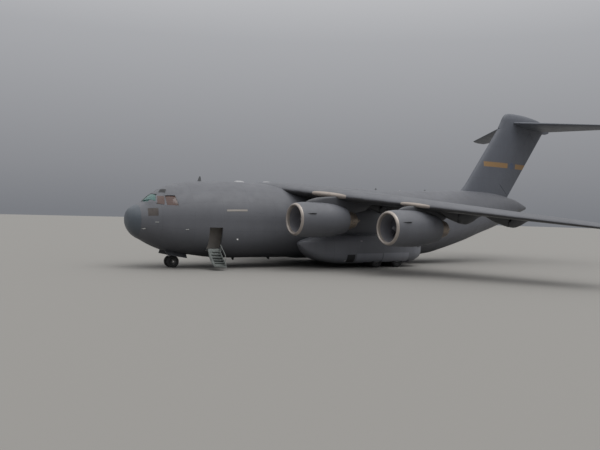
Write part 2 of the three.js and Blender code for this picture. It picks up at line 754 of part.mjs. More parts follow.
function wing() {
  const rings = [WING.root, WING.kink, WING.tip].map((y) => {
    return wingRing(wingLead(y), spanwise(WING_CHORD, y), spanwise(WING_THICK, y), wingTwist(y), 0, 0.012);
  });
  const tip = wingLead(WING.tip);
  WINGLET.forEach(([aft, out, up, chord, tilt]) => {
    const lead = v(tip.x + aft, tip.y - out, tip.z + up);
    rings.push(wingRing(lead, chord, 0.1, 0, THREE.MathUtils.degToRad(tilt), 0));
  });
  const hump = loft(FAIRING.map(fairingRing));
  const cut = hump.translate([0, 0, GAP]).add(hump.translate([-GAP, 0, 0]));
  return loft(rings).subtract(OUTSIDE).subtract(cut);
}

// Point of the wing's chord plane at a share of the chord
function wingPoint(y, share) {
  const lead = wingLead(y);
  const along = share * spanwise(WING_CHORD, y);
  return v(lead.x + along, lead.y, lead.z - along * wingTwist(y));
}

// A frame along a hinge line: span, aft and normal directions, and its matrix
function hingeFrame(from, to, up) {
  const span = new THREE.Vector3().subVectors(to, from);
  const length = span.length();
  span.normalize();
  const normal = up.clone().addScaledVector(span, -up.dot(span)).normalize();
  const aft = new THREE.Vector3().crossVectors(normal, span);
  const matrix = new THREE.Matrix4().makeBasis(span, aft, normal).setPosition(from);
  return { length, matrix, span, aft, normal, from };
}

function placed(geometry, frame) {
  return solid(geometry.applyMatrix4(frame.matrix));
}

function frameBox(frame, u0, u1, v0, v1, w0, w1) {
  const geometry = new THREE.BoxGeometry(u1 - u0, v1 - v0, w1 - w0);
  return placed(geometry.translate((u0 + u1) / 2, (v0 + v1) / 2, (w0 + w1) / 2), frame);
}

function frameCone(frame, u0, u1, radius0, radius1, sides = 14) {
  const geometry = new THREE.CylinderGeometry(radius1, radius0, u1 - u0, sides);
  return placed(geometry.rotateZ(-Math.PI / 2).translate((u0 + u1) / 2, 0, 0), frame);
}

// A slab of a [aft, normal] outline in a hinge frame, from u0 to u1 along the span
function framePrism(frame, points, u0, u1) {
  const rings = [u0, u1].map((u) => points.map(([a, n]) => v(u, a, n).applyMatrix4(frame.matrix)));
  return loft(rings);
}

// Cuts a control surface out of a wing: its nose is round about the hinge line, and a pin carries each end.
function controlSurface(body, frame, noses, reach) {
  const { length } = frame;
  const tall = 2500;
  const shape = (u0, u1, grow) => {
    const nose = frameCone(frame, u0, u1, noses[0] + grow, noses[1] + grow);
    return nose.add(frameBox(frame, u0, u1, 0, reach, -tall, tall));
  };
  const bay = shape(0, length, CLEAR);
  const mould = shape(CLEAR, length - CLEAR, 0);
  const pin = frameCone(frame, GAP, length - GAP, 30, 30, 8);
  return { rest: body.subtract(bay), surface: body.intersect(mould).add(pin) };
}

// Flaps: span from and to, share of the chord at the front, depth of the hinge below the chord plane
const FLAPS = [
  { name: "inboard", from: 4350, to: 8650, share: 0.7, depth: 930, stations: [0.24, 0.8] },
  { name: "outboard", from: 9500, to: 17800, share: 0.7, depth: 720, stations: [0.434, 0.904] },
];
const LUG = { radius: 110, half: 60, outer: 130 };

function flapFrame({ from, to, share }) {
  return hingeFrame(wingPoint(from, share), wingPoint(to, share), v(0, 0, 1));
}

// The hinge fairing's fixed part under the wing, in front of the hinge
function fixedFairing(frame, middle, depth) {
  const { radius, half, outer } = LUG;
  const side = [[-2500, -160], [-140, -160], [-140, -depth - radius], [-800, -depth - radius], [-2000, -620]];
  const web = [[-200, -160], [-60, -250], [60, -depth + 60], [60, -depth], [-200, -depth - 60]];
  const eye = circle(radius, 0, -depth, 12);
  const body = framePrism(frame, side, middle - outer, middle + outer);
  const ribs = [web, eye].map((outline) => framePrism(frame, outline, middle - half, middle + half));
  return join([body, ...ribs]);
}

// The flap's own part of the fairing: two lugs beside the eye, and the tail behind it
function flapFairing(frame, middle, depth) {
  const { half, outer } = LUG;
  const foot = [[-90, -depth - 60], [90, -depth - 90], [1300, -430]];
  const plate = [...foot, [1300, -120], [25, -120], [25, -depth + 300], [-90, -depth + 60]];
  const side = [[150, -depth - 95], [900, -depth + 40], [1900, -330], [1900, -60], [150, -120]];
  const near = framePrism(frame, plate, middle + half + GAP, middle + outer);
  const far = framePrism(frame, plate, middle - outer, middle - half - GAP);
  return join([near, far, framePrism(frame, side, middle - outer, middle + outer)]);
}

function circle(radius, a, n, sides) {
  return Array.from({ length: sides }, (_, i) => {
    const angle = (2 * Math.PI * i) / sides;
    return [a + radius * Math.cos(angle), n + radius * Math.sin(angle)];
  });
}

const AILERON = { from: 18350, to: 24100, share: 0.76, noses: [230, 130] };

function wingPieces() {
  let body = wing();
  const pieces = [];
  FLAPS.forEach((flap) => {
    const frame = flapFrame(flap);
    const bay = (margin) => frameBox(frame, margin, frame.length - margin, margin, 6000, -3000, 3000);
    let leaf = body.intersect(bay(CLEAR));
    body = body.subtract(bay(0));
    flap.stations.forEach((share) => {
      const middle = share * frame.length;
      body = body.add(fixedFairing(frame, middle, flap.depth));
      leaf = leaf.add(flapFairing(frame, middle, flap.depth));
    });
    pieces.push([`flap_${flap.name}`, leaf]);
  });
  const { from, to, share, noses } = AILERON;
  const frame = hingeFrame(wingPoint(from, share), wingPoint(to, share), v(0, 0, 1));
  const { rest, surface } = controlSurface(body, frame, noses, 3000);
  pieces.push(["aileron", surface]);
  return [["wing", rest], ...pieces];
}

// Engines

const NACELLE = { sides: 18, length: 5000, slotFront: 2500 };
// Fan cowl's section: distance from the lip and radius, out along the skin and back along the duct
const NACELLE_PROFILE = [
  [0, 1180],
  [60, 1265],
  [350, 1370],
  [1200, 1450],
  [2800, 1450],
  [4100, 1310],
  [5000, 1120],
  [5000, 1080],
  [3700, 1160],
  [1000, 1075],
  [60, 1110],
  [0, 1180],
];
const CORE_PROFILE = [
  [1600, 0],
  [1600, 420],
  [2500, 720],
  [4100, 880],
  [5150, 880],
  [6150, 650],
  [6150, 420],
  [6900, 0],
];
const FAN = { x: 1330, hub: 330, tip: 1035, blades: 16, back: 1600 - GAP };
const VANES = { x: 1900, count: 6, long: 260, thick: 40 };
const PYLON_HALF = 190;

function nacelleShell() {
  return turned(NACELLE_PROFILE, NACELLE.sides, "x");
}

// Radius of the duct at x, at the middle of one of its flats
function ductRadius(x) {
  const duct = NACELLE_PROFILE.slice(7);
  const next = duct.findIndex(([at]) => at <= x);
  const [a, b] = [duct[next - 1], duct[next]];
  const radius = a[1] + ((b[1] - a[1]) * (x - a[0])) / (b[0] - a[0]);
  return radius * Math.cos(Math.PI / NACELLE.sides);
}

function vanes() {
  const { x, count, long, thick } = VANES;
  const reach = Math.min(ductRadius(x), ductRadius(x + long)) - 2 * GAP;
  return Array.from({ length: count }, (_, i) => {
    const step = (2 * Math.PI) / NACELLE.sides;
    const turn = step * (0.5 + i * (NACELLE.sides / count));
    const geometry = new THREE.BoxGeometry(long, thick, reach - 300);
    geometry.translate(x + long / 2, 0, 300 + (reach - 300) / 2);
    return solid(geometry.rotateX(turn));
  });
}

function fan() {
  const { x, hub, tip, blades, back } = FAN;
  const spinner = turned([[620, 0], [720, 130], [1000, 270], [1180, hub], [back, hub], [back, 0]], 16, "x");
  const blade = (i) => {
    const ringAt = (radius, lean, long) => {
      const [dx, dy] = [(long / 2) * Math.cos(lean), (long / 2) * Math.sin(lean)];
      const [nx, ny] = [14 * Math.sin(lean), 14 * Math.cos(lean)];
      return [
        v(x - dx - nx, -dy + ny, radius),
        v(x + dx - nx, dy + ny, radius),
        v(x + dx + nx, dy - ny, radius),
        v(x - dx + nx, -dy - ny, radius),
      ];
    };
    const rings = [ringAt(hub - 60, 0.5, 250), ringAt(tip - 14, 1.05, 330)];
    const turn = (2 * Math.PI * i) / blades;
    rings.flat().forEach((p) => p.applyAxisAngle(v(1, 0, 0), turn));
    return loft(rings);
  };
  return join([spinner, ...Array.from({ length: blades }, (_, i) => blade(i))]);
}

// Outlines of a pylon in [x, z] from the inlet and the shaft: over the cowl, into the wing, to the core
const PYLON_FRONT = [[3200, 560], [2550, 700], [2550, 1300], [1150, 1300], [1100, 1400], [1450, 1640]];
const PYLONS = {
  inner: [...PYLON_FRONT, [2200, 1850], [4450, 2050], [8600, 1680], [7500, 900], [5850, 560]],
  outer: [...PYLON_FRONT, [2200, 1780], [3850, 1900], [6700, 1800], [6400, 900], [5800, 560]],
};

function pylonPlate(outline, half) {
  return prismY(outline, -half, half);
}

function enginePieces(engine, wingBody) {
  const inner = Math.abs(engine.y) < 9000;
  const outline = inner ? PYLONS.inner : PYLONS.outer;
  const shell = nacelleShell();
  const slotHalf = PYLON_HALF + GAP;
  const slot = box(NACELLE.slotFront, NACELLE.length + 150, -slotHalf, slotHalf, 600, 1600);
  const cowl = shell.subtract(pylonPlate(outline, slotHalf)).subtract(slot);
  const core = join([turned(CORE_PROFILE, 16, "x"), pylonPlate(outline, PYLON_HALF), ...vanes()]);
  const under = wingBody.translate([-engine.x, -engine.y, -engine.z]);
  const above = join([under.translate([0, 0, -GAP]), under.translate([-GAP, 0, 0])]);
  const pieces = core.subtract(above).decompose();
  const kept = pieces.reduce((best, piece) => (piece.volume() > best.volume() ? piece : best));
  return { cowl, core: kept };
}

// Tail

function finRing(z) {
  const lead = FIN.leadX + (z - FIN.leadZ) * FIN.leadSlope;
  return aerofoil(FIN.chord, FIN.thick).map(([along, across]) => v(lead + along, across, z));
}

// Fairing on top of the fin, round the stabiliser's root: height, nose, tail, thickness
const BULLET = [
  [FIN.top + GAP, 43700, 52300, 860],
  [15750, 43850, 53040, 880],
  [16200, 44120, 52900, 880],
  [16650, 44350, 51900, 800],
  [17000, 44600, 51000, 620],
  [17250, 44900, 49500, 400],
  [17400, 45500, 48000, 140],
];

function bullet() {
  const rings = BULLET.map(([z, nose, tail, wide]) => {
    const outline = aerofoil(tail - nose, wide / (tail - nose));
    return outline.map(([along, across]) => v(nose + along, across, z));
  });
  return loft(rings);
}

// Point of the stabiliser's chord plane, at a distance along the chord
function stabiliserAlong(y, along) {
  const { apex, z, sweep, droop, trim, pivot } = STABILISER;
  const x = apex + sweep * y + along;
  return v(x, -y, z - droop * y - trim * (x - pivot));
}

function stabiliserChord(y) {
  return STABILISER.root + ((STABILISER.tip - STABILISER.root) * y) / STABILISER.half;
}

function stabiliserRing(y) {
  const outline = aerofoil(stabiliserChord(y), STABILISER.thick);
  return outline.map(([along, across]) => stabiliserAlong(y, along).add(v(0, 0, across)));
}

function stabiliserPoint(y, share) {
  return stabiliserAlong(y, share * stabiliserChord(y));
}

const ELEVATOR = { from: 750, to: 9500, share: 0.7, noses: [190, 90] };

function tailPieces() {
  const port = loft([0, STABILISER.half].map(stabiliserRing));
  const [from, to] = [ELEVATOR.from, ELEVATOR.to].map((y) => stabiliserPoint(y, ELEVATOR.share));
  const frame = hingeFrame(from, to, v(0, 0, 1));
  const { rest, surface } = controlSurface(port, frame, ELEVATOR.noses, 3000);
  const bay = frameBox(frame, 0, frame.length, -250, 3000, -1000, 1000);
  const fairing = bullet().subtract(bay).subtract(bay.mirror([0, 1, 0]));
  return { stabiliser: join([rest, rest.mirror([0, 1, 0]), fairing]), elevator: surface };
}

const RUDDER = { from: 8500, to: 15200, share: 0.7, noses: [360, 340] };

function finPieces() {
  const body = loft([7000, FIN.top].map(finRing)).subtract(OUTSIDE);
  const at = (z) => v(FIN.leadX + (z - FIN.leadZ) * FIN.leadSlope + RUDDER.share * FIN.chord, 0, z);
  const frame = hingeFrame(at(RUDDER.from), at(RUDDER.to), v(0, 1, 0));
  return controlSurface(body, frame, RUDDER.noses, 4000);
}

// Assembly

add("radome", hull(0, RADOME_END - GAP / 2), radomeGrey);
add("cockpit_shell", cockpit(), grey);
const panes = glazing();
add("windshield", panes.front, glassTint);
addPair("side_window", panes.side, glassTint);
add("flight_deck", flightDeck(), interiorGrey);
add("fuselage_forward", fuselageForward(), grey);
const [centreBody, rampBody] = rampHinge(fuselageCentre(), cargoRamp());
add("fuselage_centre", centreBody, grey);
add("wing_centre", wingCentre(), grey);
add("fuselage_aft", fuselageAft(), grey);
add("tail_cone", hull(AFT_END + GAP / 2, STATIONS.at(-1)[0]), grey);
add("cargo_floor", cargoFloor(), interiorGrey);
add("crew_door", crewDoor(), stairGreen);
addPair("side_door", sideDoor(), grey);
add("cargo_ramp", rampBody, greyUnder);
add("cargo_door", cargoDoor(), greyUnder);
addPair("gear_pod", gearPod(), greyUnder);

const wingParts = wingPieces();
wingParts.forEach(([name, body]) => addPair(name, body, grey));

const fanBody = fan();
ENGINES.forEach((engine) => {
  const starboard = engine.y > 0;
  const { cowl, core } = enginePieces({ ...engine, y: -Math.abs(engine.y) }, wingParts[0][1]);
  const place = (mesh) => mesh.position.set(engine.x, engine.y, engine.z);
  place(add(`nacelle_${engine.name}`, cowl, grey, starboard));
  place(add(`engine_${engine.name}`, core, hotMetal, starboard));
  place(add(`fan_${engine.name}`, fanBody, darkMetal));
});

const { rest: fin, surface: rudder } = finPieces();
add("fin", fin, grey);
add("rudder", rudder, grey);
const { stabiliser, elevator } = tailPieces();
add("stabiliser", stabiliser, grey);
addPair("elevator", elevator, grey);

const mainWheels = wheelSet(MAIN_GEAR.middles, MAIN_GEAR.half, MAIN_GEAR.radius, MAIN_AXLE, [-5200, -2900]);
const legBody = mainLeg();
[["front", -0.5], ["rear", 0.5]].forEach(([end, share]) => {
  [["left", 1], ["right", -1]].forEach(([side, mirror]) => {
    const x = MAIN_GEAR.x + share * MAIN_GEAR.spacing;
    const z = restHeight(MAIN_GEAR.radius);
    const facing = share < 0 ? -1 : 1;
    const leg = add(`main_leg_${end}_${side}`, legBody, legWhite);
    leg.position.set(x, mirror * MAIN_GEAR.legY, z);
    leg.scale.set(-facing, mirror, 1);
    const wheels = add(`main_wheels_${end}_${side}`, mainWheels, tyreBlack);
    wheels.position.set(x, 0, z);
    wheels.scale.y = mirror;
  });
});

const noseMiddles = [-NOSE_GEAR.track, NOSE_GEAR.track];
const noseEnds = [-NOSE_GEAR.track - 150, NOSE_GEAR.track + 150];
const noseWheels = wheelSet(noseMiddles, NOSE_GEAR.half, NOSE_GEAR.radius, NOSE_AXLE, noseEnds);
add("nose_leg", noseLeg(), legWhite).position.x = NOSE_GEAR.x;
add("nose_fork", noseFork(), legWhite).position.x = NOSE_GEAR.x;
add("nose_wheels", noseWheels, tyreBlack).position.set(NOSE_GEAR.x, 0, restHeight(NOSE_GEAR.radius));
addPair("nose_gear_door", noseDoor(), greyUnder);

plane.position.x = -LENGTH / 2;
const model = new THREE.Group();
model.add(plane);
model.scale.setScalar(SCALE);

export default model;
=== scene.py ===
"""A four-engine military transport plane at 1:2 scale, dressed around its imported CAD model.

Lengths are metres of the full-size aircraft, x aft from the nose tip, y to starboard and z up from the
ground, until model_size() or at() brings them to the model. Port is the side with negative y.
"""
import json
import math

import bmesh
import bpy
import numpy as np
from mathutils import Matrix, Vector

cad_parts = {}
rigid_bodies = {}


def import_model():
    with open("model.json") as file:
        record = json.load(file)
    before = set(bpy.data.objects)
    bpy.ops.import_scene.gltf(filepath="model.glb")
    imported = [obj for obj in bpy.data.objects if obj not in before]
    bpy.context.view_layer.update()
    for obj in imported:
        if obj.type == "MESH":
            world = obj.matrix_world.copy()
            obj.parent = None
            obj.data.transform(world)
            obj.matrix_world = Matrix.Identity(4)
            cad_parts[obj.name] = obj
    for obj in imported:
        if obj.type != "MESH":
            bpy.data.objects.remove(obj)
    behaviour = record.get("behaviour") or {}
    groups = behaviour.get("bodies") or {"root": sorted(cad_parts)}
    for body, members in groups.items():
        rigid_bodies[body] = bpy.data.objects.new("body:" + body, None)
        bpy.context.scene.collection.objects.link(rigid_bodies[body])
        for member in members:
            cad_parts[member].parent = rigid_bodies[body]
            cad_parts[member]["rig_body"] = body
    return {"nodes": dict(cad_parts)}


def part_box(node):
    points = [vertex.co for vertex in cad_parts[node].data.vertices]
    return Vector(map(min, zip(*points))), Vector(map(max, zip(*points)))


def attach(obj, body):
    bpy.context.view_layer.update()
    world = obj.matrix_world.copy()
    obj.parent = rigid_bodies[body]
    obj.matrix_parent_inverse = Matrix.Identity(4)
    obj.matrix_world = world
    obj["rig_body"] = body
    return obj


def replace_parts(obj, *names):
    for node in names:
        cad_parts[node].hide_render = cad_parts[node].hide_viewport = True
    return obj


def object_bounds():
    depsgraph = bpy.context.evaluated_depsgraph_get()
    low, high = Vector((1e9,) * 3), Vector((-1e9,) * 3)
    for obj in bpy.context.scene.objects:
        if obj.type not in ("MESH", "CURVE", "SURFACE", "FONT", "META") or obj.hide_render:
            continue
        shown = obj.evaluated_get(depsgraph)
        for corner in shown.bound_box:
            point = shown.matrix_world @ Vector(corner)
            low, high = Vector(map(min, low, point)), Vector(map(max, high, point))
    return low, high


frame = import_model()
CAD_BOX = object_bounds()

# Driving dimensions
SCALE = 0.5
NOSE_X = CAD_BOX[0].x
RADOME_END = 0.86

SIDES = (("left", 1), ("right", -1))  # names, and what turns the port side's y into each side's

# Fuselage stations: x, crown, belly, height of the widest point, half width, belly squareness
STATIONS = np.array([
    [0, 4.2, 3.69, 3.945, 0.3, 2],
    [0.07, 4.48, 3.4, 3.94, 0.59, 2],
    [0.24, 4.8, 3.06, 3.94, 0.9, 2],
    [0.52, 5.02, 2.72, 3.94, 1.23, 2],
    [0.86, 5.19, 2.48, 3.94, 1.49, 2.05],
    [1.24, 5.39, 2.29, 3.94, 1.74, 2.1],
    [1.84, 5.93, 1.96, 3.95, 2.08, 2.2],
    [2.46, 6.32, 1.68, 3.96, 2.37, 2.3],
    [3, 6.64, 1.48, 3.97, 2.58, 2.4],
    [3.75, 6.93, 1.31, 3.97, 2.83, 2.5],
    [4.63, 7.13, 1.17, 3.97, 3.05, 2.6],
    [5.6, 7.29, 1.03, 3.97, 3.22, 2.75],
    [7.1, 7.4, 0.85, 3.97, 3.37, 2.9],
    [9, 7.44, 0.78, 3.97, 3.43, 3.1],
    [26, 7.44, 0.78, 3.97, 3.43, 3.1],
    [29.3, 7.5, 0.78, 3.97, 3.43, 3.1],
    [31.5, 7.61, 0.96, 3.99, 3.4, 2.9],
    [33, 7.69, 1.26, 4.08, 3.33, 2.7],
    [36.5, 7.86, 2.1, 4.4, 2.96, 2.4],
    [39.6, 7.93, 2.99, 4.85, 2.43, 2.2],
    [42.9, 7.81, 3.92, 5.35, 1.78, 2.1],
    [45.5, 7.43, 4.78, 5.85, 1.16, 2],
    [47.5, 6.96, 5.6, 6.22, 0.62, 2],
    [48.9, 6.46, 6.06, 6.26, 0.19, 2],
])
FUSELAGE_SIDES = 28  # flat sides of the CAD's hull

# Gear pods: x, half height, half width, height of the middle
POD = np.array([
    [14.2, 0.12, 0.2, 2.15],
    [14.9, 0.62, 0.9, 1.9],
    [16.2, 1.1, 1.65, 1.75],
    [18.2, 1.33, 2.0, 1.7],
    [25.9, 1.33, 2.02, 1.7],
    [27.1, 1, 1.62, 1.76],
    [27.9, 0.2, 0.7, 1.95],
])
POD_SIDES = 20
POD_MIDDLE = 3.6  # distance from the hull's middle
POD_POWER = 3.6  # how square the section is
POD_SPOKES = 50
POD_PLANES = (14.3, 27.8, 0.3)  # planes across the pod: from, to, apart

# Camera of the photo, fitted to the aircraft: place, yaw, pitch and roll in degrees, focal length in pixels
CAMERA = {"place": (-14.541, -49.755, 4.481), "yaw": 57.96, "pitch": -0.742, "roll": 1.446, "focal": 620.28}
PHOTO_WIDTH = 600
SENSOR = 36

# Engines: number, middle of the lip, pylon
ENGINES = [
    ("1", (16.6, -12.6, 3.78), "outer"),
    ("2", (11.9, -6.45, 4.29), "inner"),
    ("3", (11.9, 6.45, 4.29), "inner"),
    ("4", (16.6, 12.6, 3.78), "outer"),
]


def at(x, y, z):
    """A point of the full-size aircraft, in the model."""
    return Vector((NOSE_X + x * SCALE, y * SCALE, z * SCALE))


def full_size(points):
    """Model points as an array of full-size metres."""
    return (np.asarray(points, float) - [NOSE_X, 0, 0]) / SCALE


def model_size(points):
    return np.asarray(points, float) * SCALE + [NOSE_X, 0, 0]


def smooth_columns(table, x):
    """The table's columns at x, on monotone cubic curves through its rows."""
    xs, ys = table[:, 0], table[:, 1:]
    step = np.diff(xs)[:, None]
    slope = np.diff(ys, axis=0) / step
    tangent = np.zeros_like(ys)
    agree = slope[:-1] * slope[1:] > 0
    total = np.where(agree, slope[:-1] + slope[1:], 1)
    tangent[1:-1] = np.where(agree, 2 * slope[:-1] * slope[1:] / total, 0)
    tangent[0], tangent[-1] = slope[0], slope[-1]
    row = np.clip(np.searchsorted(xs, x) - 1, 0, len(xs) - 2)
    width = step[row]
    t = ((np.asarray(x) - xs[row]) / width[..., 0])[..., None]
    return (
        ys[row] * (1 + 2 * t) * (1 - t) ** 2
        + tangent[row] * width * t * (1 - t) ** 2
        + ys[row + 1] * t * t * (3 - 2 * t)
        + tangent[row + 1] * width * t * t * (t - 1)
    )


def turns(count):
    """Even angles round a circle."""
    return np.linspace(0, 2 * np.pi, count, endpoint=False)


def row_at(table, x):
    """The table's smooth columns at one x."""
    return smooth_columns(table, np.array([x]))[0]


def linear_columns(table, x):
    return np.stack([np.interp(x, table[:, 0], column) for column in table[:, 1:].T], axis=-1)


class Form:
    """A body of superellipse sections along x. Its columns are height up and down from the middle, height and
    offset of the middle, half width, and the power above and below."""

    def __init__(self, table, sides):
        self.table = table
        self.sides = sides

    def smooth(self, x):
        return smooth_columns(self.table, x).T

    def faceted(self, x):
        return linear_columns(self.table, x).T

    @staticmethod
    def reach(section, angle):
        """Distance of the smooth skin from the section's middle."""
        up, down, _, _, half, power_up, power_down = section
        c, s = np.abs(np.cos(angle)), np.abs(np.sin(angle))
        above = np.sin(angle) >= 0
        power = np.where(above, power_up, power_down)
        height = np.where(above, up, down)
        return ((c / half) ** power + (s / height) ** power) ** (-1 / power)

    def facet_reach(self, section, angle):
        """Distance of the CAD's flat-sided skin from the section's middle."""
        up, down, _, _, half, power_up, power_down = (np.asarray(v)[:, None] for v in section)
        turn = np.linspace(0, 2 * np.pi, self.sides + 1)
        turn[-1] = 0
        c, s = np.cos(turn)[None], np.sin(turn)[None]
        power = np.where(s >= 0, power_up, power_down)
        y = half * np.sign(c) * np.abs(c) ** (2 / power)
        z = np.where(s >= 0, up, down) * np.sign(s) * np.abs(s) ** (2 / power)
        corner = np.arctan2(z, y) % (2 * np.pi)
        corner[:, -1] = 2 * np.pi
        wanted = angle % (2 * np.pi)
        side = np.clip((corner <= wanted[:, None]).sum(axis=1) - 1, 0, self.sides - 1)
        each = np.arange(len(wanted))
        y0, z0, y1, z1 = y[each, side], z[each, side], y[each, side + 1], z[each, side + 1]
        c, s = np.cos(wanted), np.sin(wanted)
        return (y0 * z1 - z0 * y1) / (c * (z1 - z0) - s * (y1 - y0))

    def warp(self, points):
        """Full-size points near the CAD's flat-sided skin, moved so that it becomes the smooth one."""
        section, round_section = self.faceted(points[:, 0]), self.smooth(points[:, 0])
        across = points[:, 1] - section[3]
        height = points[:, 2] - section[2]
        angle = np.arctan2(height, across)
        ratio = self.reach(round_section, angle) / self.facet_reach(section, angle)
        out = points.copy()
        out[:, 1] = round_section[3] + across * ratio
        out[:, 2] = round_section[2] + height * ratio
        return out

    def level(self, points):
        """How far out of the smooth skin each point lies, as a share of the section."""
        section = self.smooth(points[:, 0])
        across, height = points[:, 1] - section[3], points[:, 2] - section[2]
        return np.hypot(across, height) / self.reach(section, np.arctan2(height, across)) - 1

    def normals(self, points, step=0.01):
        """Outward directions of the smooth skin at the points."""
        slope = [self.level(points + shift) - self.level(points - shift) for shift in step * np.eye(3)]
        slope = np.stack(slope, axis=1)
        return slope / np.linalg.norm(slope, axis=1, keepdims=True)

    def side_point(self, x, z, side=-1):
        """The point of the smooth skin at x and height z."""
        up, down, middle, offset, half, power_up, power_down = self.smooth(np.array([x]))[:, 0]
        above = z >= middle
        share = abs(z - middle) / (up if above else down)
        power = power_up if above else power_down
        return np.array([x, offset + side * half * max(1 - share**power, 0) ** (1 / power), z])

    def top_point(self, x, y, below=False):
        """The point of the smooth crown, or of the belly, at x and y."""
        up, down, middle, offset, half, power_up, power_down = self.smooth(np.array([x]))[:, 0]
        share = min(abs(y - offset) / half, 1)
        power = power_down if below else power_up
        rise = (1 - share**power) ** (1 / power)
        return np.array([x, y, middle - down * rise if below else middle + up * rise])


def fuselage_form():
    x, crown, belly, widest, half, square = STATIONS.T
    zero = np.zeros_like(x)
    table = np.stack([x, crown - widest, widest - belly, widest, zero, half, zero + 2, square], axis=1)
    return Form(table, FUSELAGE_SIDES)


def pod_form(side):
    x, high, wide, middle = POD.T
    power = np.full_like(x, POD_POWER)
    table = np.stack([x, high, high, middle, side * POD_MIDDLE + 0 * x, wide, power, power], axis=1)
    return Form(table, POD_SIDES)


FUSELAGE = fuselage_form()


# Materials


def material(name, color, roughness=0.5, metallic=0.0):
    """A new Principled material and its shader."""
    made = bpy.data.materials.new(name)
    made.use_nodes = True
    shader = made.node_tree.nodes["Principled BSDF"]
    shader.inputs["Base Color"].default_value = (*color, 1)
    shader.inputs["Roughness"].default_value = roughness
    shader.inputs["Metallic"].default_value = metallic
    return made, shader


class Graph:
    """Short names for the nodes that the paints are built from."""

    def __init__(self, made):
        self.tree = made.node_tree
        self.place = self.tree.nodes.new("ShaderNodeTexCoord").outputs["Object"]

    def link(self, source, target):
        self.tree.links.new(source, target)

    def node(self, kind, inputs, output=0, **settings):
        """A new node's output. Its inputs are numbers, colours or the outputs of other nodes."""
        made = self.tree.nodes.new(f"ShaderNode{kind}")
        for name, value in settings.items():
            setattr(made, name, value)
        for key, value in inputs.items():
            if isinstance(value, bpy.types.NodeSocket):
                self.link(value, made.inputs[key])
            else:
                made.inputs[key].default_value = value
        return made.outputs[output]

    def math(self, operation, *values):
        return self.node("Math", dict(enumerate(values)), operation=operation)

    def noise(self, scale, detail=3, stretch=(1, 1, 1)):
        place = self.node("Mapping", {"Vector": self.place, "Scale": stretch})
        return self.node("TexNoise", {"Vector": place, "Scale": scale, "Detail": detail}, "Fac")

    def spread(self, value, low, high, to_low=0.0, to_high=1.0):
        """How far the value lies from low to high, as a number from to_low to to_high."""
        values = {"Value": value, "From Min": low, "From Max": high, "To Min": to_low, "To Max": to_high}
        return self.node("MapRange", values, "Result")

    def mix(self, share, a, b):
        a, b = ((*color, 1) if isinstance(color, tuple) else color for color in (a, b))
        return self.node("Mix", {0: share, 6: a, 7: b}, 2, data_type="RGBA")

    def axis(self, name):
        return self.node("SeparateXYZ", {0: self.place}, name)

    def attribute(self, name):
        return self.node("Attribute", {}, "Fac", attribute_name=name)

    def lines(self, value, spacing, width):
        """1 on lines of that width at each multiple of spacing, and 0 between them."""
        cell = self.math("FRACT", self.math("DIVIDE", value, spacing))
        edge = self.math("ABSOLUTE", self.math("SUBTRACT", cell, 0.5))
        return self.math("GREATER_THAN", edge, 0.5 - width / spacing / 2)

    def within(self, value, low, high, soft=0.004):
        """1 between low and high, and 0 outside, with soft edges."""
        above = self.spread(value, low - soft, low + soft)
        return self.math("MULTIPLY", above, self.spread(value, high + soft, high - soft))

    def at_value(self, value, place, half):
        """1 within half of one place, and 0 elsewhere."""
        return self.math("LESS_THAN", self.math("ABSOLUTE", self.math("SUBTRACT", value, place)), half)

    def bump(self, shader, height, strength, distance):
        values = {"Height": height, "Strength": strength, "Distance": distance}
        self.link(self.node("Bump", values), shader.inputs["Normal"])


# Paints
GREY = (0.109, 0.113, 0.127)
FIN_GREY = (0.1, 0.109, 0.131)
# Colour that the paint is darkened to low down, as painted shade
BELLY = (0.034, 0.036, 0.042)
SEAM = (0.045, 0.048, 0.052)
# Colour of the painted shade below the wing's root and on the wing's underside
PAINTED_SHADE = (0.03, 0.029, 0.029)
SEAM_WIDTH = 0.007
FRAME_STEP, STRINGER_STEP, RIB_STEP, COWL_STEP = 1.21, 0.62, 0.95, 1.3  # spacing of seams in the model
SPAR_SHARES = (0.13, 0.4, 0.62)
# Shaded part of the hull's side, and the fin's band, both in model metres
SHADE = {"x": (-5.6, 0.4), "z": (2.55, 3.3), "strength": 0.6}
BAND = {
    "x": [(7.3, 9.32), (10.06, 11.1)], "z": (5.43, 5.72), "gold": (0.32, 0.185, 0.065), "strength": 0.85,
    "disc": (9.69, 5.575), "radius": 0.2, "soft": 0.003, "blue": (0.075, 0.095, 0.15),
}
LOWER_SIDE_SHADE = {"from": 1.75, "full": 0.45}  # heights in the model where the painted shade on the lower side starts and is full
# How far the wing's underside is darkened, as painted shade
UNDERSIDE_SHADE = 0.72


def shaded(color, by):
    return tuple(min(c * by, 1) for c in color)


def weathered(graph, color, contrast=0.1):
    """Colour broken up by broad patches, run-off streaks and fine mottling."""
    dark, light = shaded(color, 1 - contrast), shaded(color, 1 + contrast)
    patches = graph.noise(0.55, 4)
    streaks = graph.noise(1.6, 4, stretch=(2.2, 2.2, 0.25))
    mottle = graph.noise(9, 3)
    blend = graph.math("ADD", graph.math("MULTIPLY", patches, 0.5), graph.math("MULTIPLY", streaks, 0.35))
    blend = graph.math("ADD", blend, graph.math("MULTIPLY", mottle, 0.15))
    return graph.mix(graph.spread(blend, 0.32, 0.68), dark, light)


